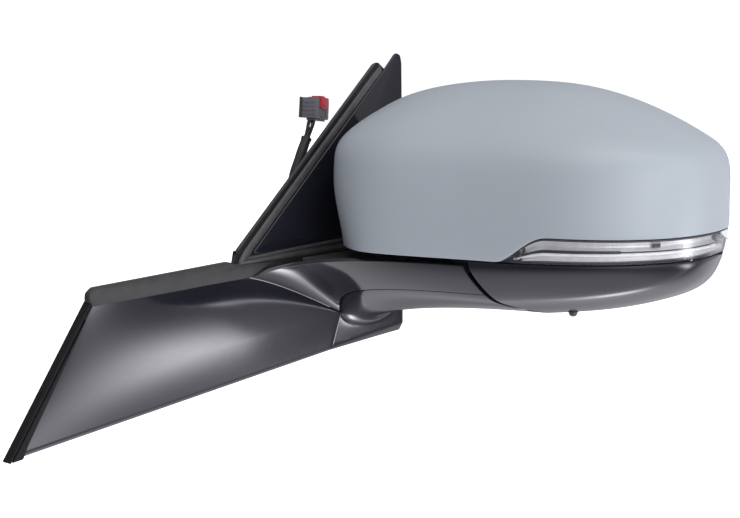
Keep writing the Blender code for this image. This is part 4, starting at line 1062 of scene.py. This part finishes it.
RIM_STEP_U = 78.5               # inboard of this the rim's foot follows the upper cover's edge
GLASS_CENTRE = (86.0, 62.0)
GLASS_MARGIN = 5.6              # from the opening's edge to the glass
OPENING = ((46, 129.5), (90, 128.5), (128, 118), (160, 104), (184, 92.5), (197, 84), (197.5, 62),
           (195, 38), (188, 16), (172, 2), (148, -8), (124, -9.5), (107, -2), (93, 14), (77, 30),
           (50, 33.5), (10, 33.5), (-32, 33.5), (-45.5, 37), (-45.5, 62), (-45.5, 96), (-38, 114),
           (-18, 126), (12, 129))


def rim_outline(count):
    """The outline (u, z) of the head's open rear."""
    columns = head_columns(np.linspace(0.0, 1.0, 240))
    top, bottom = columns[:, 0][:, [0, 2]], columns[::-1, -1][:, [0, 2]]
    bottom = bottom[bottom[:, 0] > RIM_STEP_U]
    floor = COVER_BOTTOM + 0.4
    step = [(RIM_STEP_U, bottom[-1][1]), (RIM_STEP_U, floor), (top[0][0], floor)]
    return even(np.concatenate([top, bottom, step, top[:1]]), count + 1)[:-1]


def polar(outline, angles):
    """How far an outline is from the glass's centre at these angles."""
    rel = np.asarray(outline, float) - GLASS_CENTRE
    at = np.arctan2(rel[:, 1], rel[:, 0])
    order = np.argsort(at)
    at, far = at[order], np.hypot(rel[:, 0], rel[:, 1])[order]
    at = np.concatenate([at - 2 * math.pi, at, at + 2 * math.pi])
    return np.interp(angles, at, np.tile(far, 3))


def ring_at(angles, radii):
    return np.stack([GLASS_CENTRE[0] + radii * np.cos(angles),
                     GLASS_CENTRE[1] + radii * np.sin(angles)], 1)


def inset_opening(inset, count=200):
    """The opening's outline moved in by inset, measured square to it."""
    angles = np.linspace(-math.pi, math.pi, count, endpoint=False)
    opening = smooth_loop(OPENING, 480)
    radii = []
    for angle, limit in zip(angles, polar(opening, angles)):
        tries = np.linspace(0.3, 1.0, 400) * limit
        gaps = np.linalg.norm(ring_at(angle, tries)[:, None] - opening[None], axis=2).min(axis=1)
        radii.append(tries[gaps >= inset][-1])
    return ring_at(angles, np.array(radii))


def mirror_side():
    rim = rim_outline(420)
    angles = np.arctan2(rim[:, 1] - GLASS_CENTRE[1], rim[:, 0] - GLASS_CENTRE[0])
    outer, inner = polar(rim, angles), polar(smooth_loop(OPENING, 480), angles)
    loops = ((outer - 0.9, 44.4), (outer - 0.8, 45.6), (outer - 0.95, 46.6), (outer - 1.5, 47.5),
             (outer - 2.5, 48.0), (outer * 0.5 + inner * 0.5, 48.1), (inner + 2.4, 47.9),
             (inner + 1.2, 47.5), (inner + 0.4, 46.8), (inner, 45.8), (inner - 0.2, 38.0),
             (inner - 0.4, BEZEL_DEPTH + 0.4), (inner + 0.2, BEZEL_DEPTH), (inner + 0.9, BEZEL_DEPTH + 0.4),
             (inner + 1.2, 38.0), (inner + 1.6, 45.0), (outer - 2.4, 45.6), (outer - 2.2, 44.4))
    verts = np.concatenate([on_head(*ring_at(angles, r).T, v) for r, v in loops])
    faces = quads(len(loops), len(angles), close_rows=True, close_columns=True)
    piece("rear_bezel_frame", verts, faces, SATIN, "head", ("rear_bezel",))
    edge = inset_opening(GLASS_MARGIN)
    pad("mirror_glass_face", edge, GLASS_V - 2.2, GLASS_V, on_head, SILVERED, "glass",
        ("mirror_glass",), edge=0.5, count=260)
    profile = ((0.2, GLASS_V - 5.2), (1.3, GLASS_V - 5.0), (1.5, GLASS_V + 0.2), (1.1, GLASS_V + 0.9),
               (0.3, GLASS_V + 1.0), (-0.9, GLASS_V + 0.5), (-0.9, GLASS_V + 0.12), (0.2, GLASS_V + 0.12))
    band("mirror_glass_rim", round_trip(edge, 260), profile, on_head, FINE_SATIN, "glass")
    near = edge[:, 0].min()
    baffle = rounded(((near - 7, 36), (near - 7, 70), (near + 16, 70), (near + 16, 36)), 2.0)
    pad("rear_bezel_baffle", baffle, 16.2, 17.6, on_head, SATIN, "head", edge=0.3, count=60)
    sensor = axis_frame(tuple(to_door((*SENSOR_PLACE, 0.0))), (0, 0, -1))
    lathe("temperature_sensor_bead", ((2.2, 8.0), (2.8, 8.4), (2.9, 19.0), (3.4, 19.2), (3.5, 19.9),
                                      (2.9, 20.3), (2.8, 21.4), (2.2, 22.3), (1.2, 22.8), (0.4, 22.9)),
          sensor, FINE_SATIN, "head", ("temperature_sensor",), sides=32)


mirror_side()


# ---------------------------------------------------------------- foot and fin

BEAD = 2.6                     # width of the turned-in edge along the foot's bottom
BEAD_SLOPE = 0.6
ARM_BACK = 0.3                 # the arm's last row is drawn back by this share of a row
FIN_BACK = 0.3                 # and the fin's end beside it by this length
COVER_EDGE = 0.07              # radius of these covers' edges


def turned_edge(grid):
    """Turn the lower edge of a door-plane surface in towards the door."""
    grid = np.array(grid, float)
    start, end = np.array(FIN_TIP), np.array(SEAM_FOOT)
    along = (end - start) / np.linalg.norm(end - start)
    square = np.array([-along[1], along[0]])
    above = (grid[..., 1:] - start) @ square
    grid[..., 0] -= np.clip(BEAD - above, 0.0, None) * BEAD_SLOPE * (grid[..., 0] < FIN_X + 3.5)
    return grid


def thick(name, grids, wall, outward, edge, look, body, nodes):
    """Neighbouring grids joined into one surface and given a wall with rounded borders."""
    bm = bmesh.new()
    for grid in grids:
        verts = [[bm.verts.new(p) for p in row] for row in np.asarray(grid) * MM]
        for i in range(len(verts) - 1):
            for j in range(len(verts[0]) - 1):
                bm.faces.new((verts[i][j], verts[i + 1][j], verts[i + 1][j + 1], verts[i][j + 1]))
    bmesh.ops.remove_doubles(bm, verts=bm.verts, dist=0.00015)
    bmesh.ops.recalc_face_normals(bm, faces=bm.faces)
    facing = sum((face.normal * face.calc_area() for face in bm.faces), Vector())
    if facing.dot(Vector(outward)) < 0:
        bmesh.ops.reverse_faces(bm, faces=bm.faces)
    rough = bpy.data.meshes.new(name + "_surface")
    bm.to_mesh(rough)
    bm.free()
    made = bpy.data.objects.new(name + "_surface", rough)
    bpy.context.scene.collection.objects.link(made)
    solid = made.modifiers.new("wall", "SOLIDIFY")
    solid.thickness, solid.offset = wall * MM, -1.0
    round_off = made.modifiers.new("edge", "BEVEL")
    round_off.width, round_off.segments = edge * MM, 3
    round_off.limit_method, round_off.angle_limit = "ANGLE", math.radians(55.0)
    bpy.context.view_layer.update()
    mesh = bpy.data.meshes.new_from_object(made.evaluated_get(bpy.context.evaluated_depsgraph_get()))
    bpy.data.objects.remove(made)
    mesh.name = name
    mesh.materials.clear()
    smooth(mesh, 40.0)
    return link(name, mesh, look, body, nodes)


def foot_and_fin():
    arm_rows, all_rows = 61, 101
    fin = turned_edge(fin_rows(arm_rows, all_rows, 110))
    arm = front_rows(arm_rows, 96)
    arm[-1] += (arm[-2] - arm[-1]) * ARM_BACK
    fin[arm_rows:, -1, 1] -= FIN_BACK
    thick("fin_cover_skin", (fin, arm), COVER_WALL, (1.0, 0.0, 0.0), COVER_EDGE, GLOSS, "base",
          ("fin_cover",))
    lower = turned_edge(lower_foot_rows(110, 80, 12))
    lower = trimmed(lower, top=0.4)
    shell("foot_lower_skin", lower, COVER_WALL, (0.2, 0.0, -1.0), GLOSS, "base",
          ("foot_lower_cover",), edge=COVER_EDGE)


foot_and_fin()


# ---------------------------------------------------------------- sail

SAIL_PANEL = ((-105, 18.5), (54, 146), (68, 158), (73, 156), (74, 150), (64, 24.5), (0, 22))
SAIL_FRAME = ((-122, 12), (-115, 23), (44, 149.5), (49, 151), (60, 143), (66, 120), (62.5, 12),
              (-60, 11))


def sail():
    panel = rounded(SAIL_PANEL, (1.5, 1.5, 6.0, 3.0, 5.0, 2.0, 40.0), 8)
    pad("sail_panel_face", panel, -1.5, 1.0, on_sail, GLOSS, "base", ("sail_panel",),
        edge=0.9, crown=0.9, count=300)
    frame_line = rounded(SAIL_FRAME, (1.5, 3.0, 2.0, 2.0, 5.0, 5.0, 2.0, 40.0), 8)
    profile = ((0.0, -4.6), (0.0, -2.6), (-0.5, -1.9), (-10.0, -1.9), (-10.4, -2.4), (-10.4, -4.6),
               (-10.0, -5.0), (-0.5, -5.0))
    band("sail_frame_rim", round_trip(frame_line, 300), profile, on_sail, SATIN, "base", ("sail_frame",))
    slope = smooth_line(((46.5, 150.4), (43.6, 148.9), (0.0, 114.2), (-60.0, 66.4), (-111.0, 25.8),
                         (-116.0, 21.5), (-121.0, 13.5)), 140)
    lip = ((-0.1, -2.2), (0.2, -1.3), (-0.5, -0.7), (-1.6, -0.6), (-2.6, -1.0), (-3.0, -1.9), (-2.6, -2.6),
           (-0.6, -2.6))
    band("sail_outer_lip", slope, lip, on_sail, RUBBER, "base", closed=False, slot="satin_black")
    strip = ((-3.5, -2.2), (-3.7, -1.1), (-4.3, -0.5), (-6.4, -0.1), (-8.6, -0.3), (-9.2, -0.8), (-9.4, -2.2),
             (-8.6, -2.6), (-4.2, -2.6))
    band("sail_edge_strip", slope, strip, on_sail, FINE_SATIN, "base", closed=False)
    rail()
    outer = rounded(((-111, 15), (-104, 22), (48, 142), (53, 141), (58, 135), (63, 119), (60, 15)), 3.0)
    profile = ((0.0, -5.5), (0.2, -7.2), (0.0, -9.0), (-0.9, -10.1), (-2.0, -9.7), (-2.6, -8.4),
               (-3.4, -8.4), (-4.0, -9.8), (-5.0, -10.4), (-6.0, -9.6), (-6.4, -7.6), (-6.4, -5.5))
    band("sail_seal_lips", round_trip(outer, 260), profile, on_sail, RUBBER, "base", ("sail_seal",))
    back = rounded(((-58, 43), (45, 126), (48, 126), (50, 122), (53, 114), (51, 43)), 3.0)
    pad("sail_backing_plate", back, -7.2, -5.3, on_sail, SATIN, "base", ("sail_backing",),
        edge=0.5, count=200)
    bar = ((-0.8, -7.0), (-0.6, -8.6), (0.6, -8.6), (0.8, -7.0))
    ribs = (((-40, 52), (46, 118)), ((-20, 48), (48, 102)), ((4, 48), (48, 82)), ((-30, 58), (-30, 46)),
            ((-6, 78), (-6, 46)), ((18, 98), (18, 46)), ((40, 114), (40, 46)))
    bars("sail_backing_rib", ribs, bar, on_sail)


def rail():
    """The rail under the sail: two ridges that widen to the rear."""
    top = smooth_line(((-106.0, 17.4), (-60.0, 19.2), (0.0, 21.0), (30.0, 22.2), (63.0, 23.5)), 120)
    foot = smooth_line(((-120.5, 12.5), (-80.0, 12.0), (-40.0, 11.8), (10.0, 12.0), (62.3, 12.5)), 120)
    section = ((0.0, -1.4), (0.0, 0.4), (0.02, 0.9), (0.06, 1.2), (0.16, 1.3), (0.26, 1.1), (0.32, 0.6),
               (0.36, 0.1), (0.42, -0.1), (0.48, 0.1), (0.52, 0.6), (0.58, 1.0), (0.72, 1.1), (0.88, 0.8),
               (0.96, 0.2), (1.0, -0.5), (1.0, -1.4))
    grid = np.array([on_sail(*(top + (foot - top) * t).T, h) for t, h in section])
    grid = np.swapaxes(grid, 0, 1)
    piece("sail_rail_ridges", grid.reshape(-1, 3), capped(len(grid), len(section)), FINE_SATIN, "base",
          ("sail_rail",))


sail()


# ---------------------------------------------------------------- door side

FIN_FRONT_EDGE = ((-247.0, 4.0), (-313.3, -86.5))


def door_side():
    strip = rounded(((-247, 0.3), (-250, 4.5), (-249.5, 9), (-245, 12.2), (-127, 15.6), (-121, 13.6),
                     (-84, 11.2), (-88, 8.6), (-106, 1.6)), (1.5, 3.0, 3.0, 3.0, 1.0, 1.0, 1.0, 2.0, 8.0), 8)
    pad("belt_strip_moulding", strip, 15.0, 20.7, on_door, SATIN, "base", ("belt_strip",),
        edge=1.1, crown=0.4, count=260)
    filler = rounded(((-112, -3.0), (-108, 10.0), (-100, 13.0), (58, 13.0), (58, 6.0), (-60, -3.0)), 1.0)
    gusset = rounded(((-30, -48), (-30, -22), (14, -22), (14, -48)), 2.0)
    pad("arm_seam_gusset", gusset, 17.2, 18.0, on_door, SATIN, "base", edge=0.25, count=80)
    pad("arm_root_filler", filler, 17.1, 18.2, on_door, SATIN, "base", edge=0.3, count=160)
    path = even(np.array(FIN_FRONT_EDGE), 60)
    lips = ((-0.85, 13.2), (-0.85, 20.0), (-0.3, 20.5), (0.5, 20.4), (0.85, 19.8), (0.7, 18.2),
            (0.45, 16.8), (0.7, 15.2), (0.85, 13.8), (0.5, 13.2))
    band("fin_edge_lips", path, lips, on_door, RUBBER, "base", ("fin_edge_seal",), closed=False)
    lip = rounded(((-247.2, 1.5), (-312.0, -86.4), (-304.0, -85.7), (-300.0, -78.0)), (0.5, 0.5, 0.8, 8.0))
    pad("fin_edge_face_lip", lip, 19.0, 21.0, on_door, RUBBER, "base", edge=0.3, count=200)
    tray = rounded(((-241, -6), (-297, -77), (-64, -59), (-64, 2), (-106, -5)), 2.0)
    pad("fin_carrier_tray", tray, 14.9, 16.0, on_door, SATIN, "base", ("fin_carrier",),
        edge=0.3, count=200)
    rib = ((-0.7, 15.0), (-0.6, 13.5), (0.6, 13.5), (0.7, 15.0))
    lines = [((-236, -8), (-292, -76)), ((-292, -76), (-68, -58)), ((-232, -30), (-68, -22)),
             ((-252, -55), (-68, -42)), ((-215, -8), (-262, -73)), ((-180, -9), (-222, -70)),
             ((-145, -9), (-182, -67)), ((-110, -8), (-142, -64)), ((-78, -3), (-102, -61))]
    bars("fin_carrier_rib", lines, rib, on_door)
    outer = rounded(((-245, -1), (-307, -84), (-22, -61), (-8, -60.5), (61.5, -57.5), (61.5, 8), (-60, 8),
                     (-108, 0)), 2.0)
    profile = ((1.6, 16.8), (1.8, 14.6), (1.2, 13.4), (0.4, 13.1), (-0.2, 14.2), (-0.8, 14.2), (-1.4, 13.1),
               (-2.2, 13.4), (-2.8, 14.6), (-2.6, 16.8))
    band("door_gasket_lips", round_trip(outer, 400), profile, on_door, RUBBER, "base", ("door_gasket",))


BOLT_PLACES = ((-38.0, 26.0), (38.0, 26.0), (0.0, -29.0))
BOLT_END, BOLT_HEAD = -22.0, 6.3      # the X of the thread's end and of the flange's face
BOLT_R, THREAD_PITCH, THREAD_DEPTH = 3.0, 1.0, 0.34
HALF_ACROSS_FLATS = 5.0


def thread_radius(height, angle):
    return BOLT_R - THREAD_DEPTH * (0.5 + 0.5 * np.cos(2 * np.pi * height / THREAD_PITCH - angle))


def hexagon(share):
    return lambda height, angle: share * HALF_ACROSS_FLATS / np.cos(angle % (np.pi / 3) - np.pi / 6)


def mounting_bolt(number, place):
    """A bolt with a flanged hexagon head and a rolled thread."""
    first, last = BOLT_END + 0.8, BOLT_HEAD - 4.0
    count = int((last - BOLT_END) / THREAD_PITCH * 8)
    profile = [(0.3, BOLT_END), (BOLT_R * 0.7, BOLT_END), (BOLT_R * 0.86, first)]
    profile += [(thread_radius, h) for h in np.linspace(first, last, count + 1)]
    profile += [(BOLT_R, BOLT_HEAD - 3.6), (BOLT_R, BOLT_HEAD), (7.2, BOLT_HEAD),
                (7.4, BOLT_HEAD + 0.4), (6.6, BOLT_HEAD + 1.2), (hexagon(1.0), BOLT_HEAD + 1.2),
                (hexagon(1.0), BOLT_HEAD + 3.6), (hexagon(0.9), BOLT_HEAD + 4.0), (2.6, BOLT_HEAD + 4.0)]
    lathe(f"mounting_bolt_{number}_thread", profile, axis_frame((0.0, *place), (1, 0, 0)), STEEL,
          "base", (f"mounting_bolt_{number}",), sides=28, sharp=50.0)


door_side()
for number, place in enumerate(BOLT_PLACES, 1):
    mounting_bolt(number, place)

for node, look in (
        ("mounting_bracket", CAST), ("foot_top_plate", SATIN), ("head_frame", CAST),
        ("fold_drive_cover", SATIN), ("fold_motor", MOTOR), ("fold_worm", STEEL), ("fold_gear", STEEL),
        ("pivot_shaft", STEEL), ("detent_ring", NYLON), ("spring_retainer", STEEL),
        ("pivot_spring", SPRING), ("glass_actuator", SATIN), ("gimbal_ring", NYLON),
        ("jack_tilt", NYLON), ("jack_swing", NYLON), ("heater_pad", FOIL), ("glass_carrier", SATIN),
        ("actuator_screw_1", STEEL), ("actuator_screw_2", STEEL), ("actuator_screw_3", STEEL)):
    keep(node, look)


# ---------------------------------------------------------------- studio

FLOOR_Z, FLOOR_SIZE = -0.45, 8.0
# Soft lights of the room, each seen in the direction (azimuth, elevation) in degrees from +X:
# azimuth, elevation, spread across, spread up, tilt, strength
GLOWS = ((42.4, -14.0, 5.9, 4.1, -0.3, 9.4), (47.4, -20.2, 5.0, 17.0, -1.0, 0.9),
         (100.0, -62.0, 15.5, 4.6, 0.0, 8.0),
         (-18.0, 8.0, 28.0, 18.0, 0.0, 2.0), (96.0, -12.0, 18.0, 14.0, 0.0, 0.9))
FLAG = (42.9, -2.2, -2.43, 1.6)      # a card's edge across the first: azimuth, elevation, slope, blur
ZENITH, LEVEL_LIGHT, NADIR = 0.68, 0.16, 1.5
CEILING, FLOOR_STARTS, FLOOR_FULL = 1.3, -0.38, -1.08       # elevations in radians
BACKDROP, ROOM_COLOUR = 1.06, (0.985, 0.975, 1.04, 1.0)     # strength the camera sees; the room's tint


def studio():
    scene = bpy.context.scene
    scene.view_settings.view_transform = "Standard"
    scene.view_settings.look = "None"
    world = bpy.data.worlds.new("studio")
    scene.world = world
    world.use_nodes = True
    tree = world.node_tree

    def node(kind, links=(), **values):
        return add_node(tree, kind, links, **values)

    def math_of(kind, *values):
        return node("ShaderNodeMath", dict(enumerate(values)), operation=kind).outputs[0]

    def ramp(value, first, last, top):
        return node("ShaderNodeMapRange", {0: value, 1: first, 2: last, 3: 0.0, 4: top},
                    interpolation_type="SMOOTHSTEP").outputs[0]
    direction = node("ShaderNodeTexCoord").outputs["Generated"]
    split = node("ShaderNodeSeparateXYZ", {0: direction})
    x, y, z = (split.outputs[k] for k in range(3))
    azimuth = math_of("ARCTAN2", y, x)
    level = math_of("ARCSINE", z)
    up = node("ShaderNodeMapRange", {0: level, 1: 0.0, 2: CEILING, 3: LEVEL_LIGHT, 4: ZENITH}).outputs[0]
    down = ramp(level, FLOOR_STARTS, FLOOR_FULL, NADIR - LEVEL_LIGHT)
    edge = math_of("ADD", level, math_of("MULTIPLY", azimuth, -FLAG[2]))
    line = math.radians(FLAG[1] - FLAG[2] * FLAG[0])
    card = ramp(edge, line, line - math.radians(FLAG[3]), 1.0)
    total = math_of("ADD", up, down)
    for glow_number, (turn, lift, across, high, tilt, power) in enumerate(GLOWS):
        off = math_of("SUBTRACT", azimuth, math.radians(turn))
        lean = math_of("ADD", math_of("MULTIPLY", off, tilt), math.radians(lift))
        a = math_of("DIVIDE", off, math.radians(across))
        b = math_of("DIVIDE", math_of("SUBTRACT", level, lean), math.radians(high))
        squares = [math_of("MULTIPLY", side, side) for side in (a, b)]
        fall = math_of("MULTIPLY", math_of("ADD", *squares), -0.5)
        glow = math_of("MULTIPLY", math_of("EXPONENT", fall), power)
        total = math_of("ADD", total, math_of("MULTIPLY", glow, card) if glow_number == 0 else glow)
    seen = node("ShaderNodeLightPath").outputs["Is Camera Ray"]
    strength = node("ShaderNodeMix", {0: seen, 2: total, 3: BACKDROP}).outputs[0]
    tree.links.new(strength, tree.nodes["Background"].inputs["Strength"])
    tree.nodes["Background"].inputs["Color"].default_value = ROOM_COLOUR
    look = Look("pale_floor", (0.9, 0.9, 0.9), 0.7)
    look.rough(look.noise(80.0), 0.6, 0.8)
    look.shader.inputs["Emission Color"].default_value = (1.0, 1.0, 1.0, 1.0)
    look.shader.inputs["Emission Strength"].default_value = 1.0
    mesh = bpy.data.meshes.new("floor")
    bm = bmesh.new()
    bmesh.ops.create_grid(bm, x_segments=2, y_segments=2, size=FLOOR_SIZE)
    bm.to_mesh(mesh)
    bm.free()
    floor = bpy.data.objects.new("floor", mesh)
    floor.location = (0.0, 0.0, FLOOR_Z)
    floor.visible_glossy = floor.visible_diffuse = floor.visible_shadow = False
    mesh.materials.append(look.made)
    scene.collection.objects.link(floor)


def softbox(name, place, target, size, power, mirrored=True):
    data = bpy.data.lights.new(name, "AREA")
    data.shape = "RECTANGLE"
    data.size, data.size_y = size
    data.energy = power
    made = bpy.data.objects.new(name, data)
    made.location = place
    made.rotation_mode = "QUATERNION"
    made.rotation_quaternion = (Vector(target) - Vector(place)).to_track_quat("-Z", "Y")
    made.visible_glossy = mirrored
    bpy.context.scene.collection.objects.link(made)


studio()
LIT_POINT = (0.15, 0.0, 0.05)
softbox("top_box", (0.5, -0.1, 1.5), LIT_POINT, (1.6, 1.2), 8.0)
softbox("right_box", (1.65, -0.35, 0.26), LIT_POINT, (0.9, 0.9), 6.0, mirrored=False)
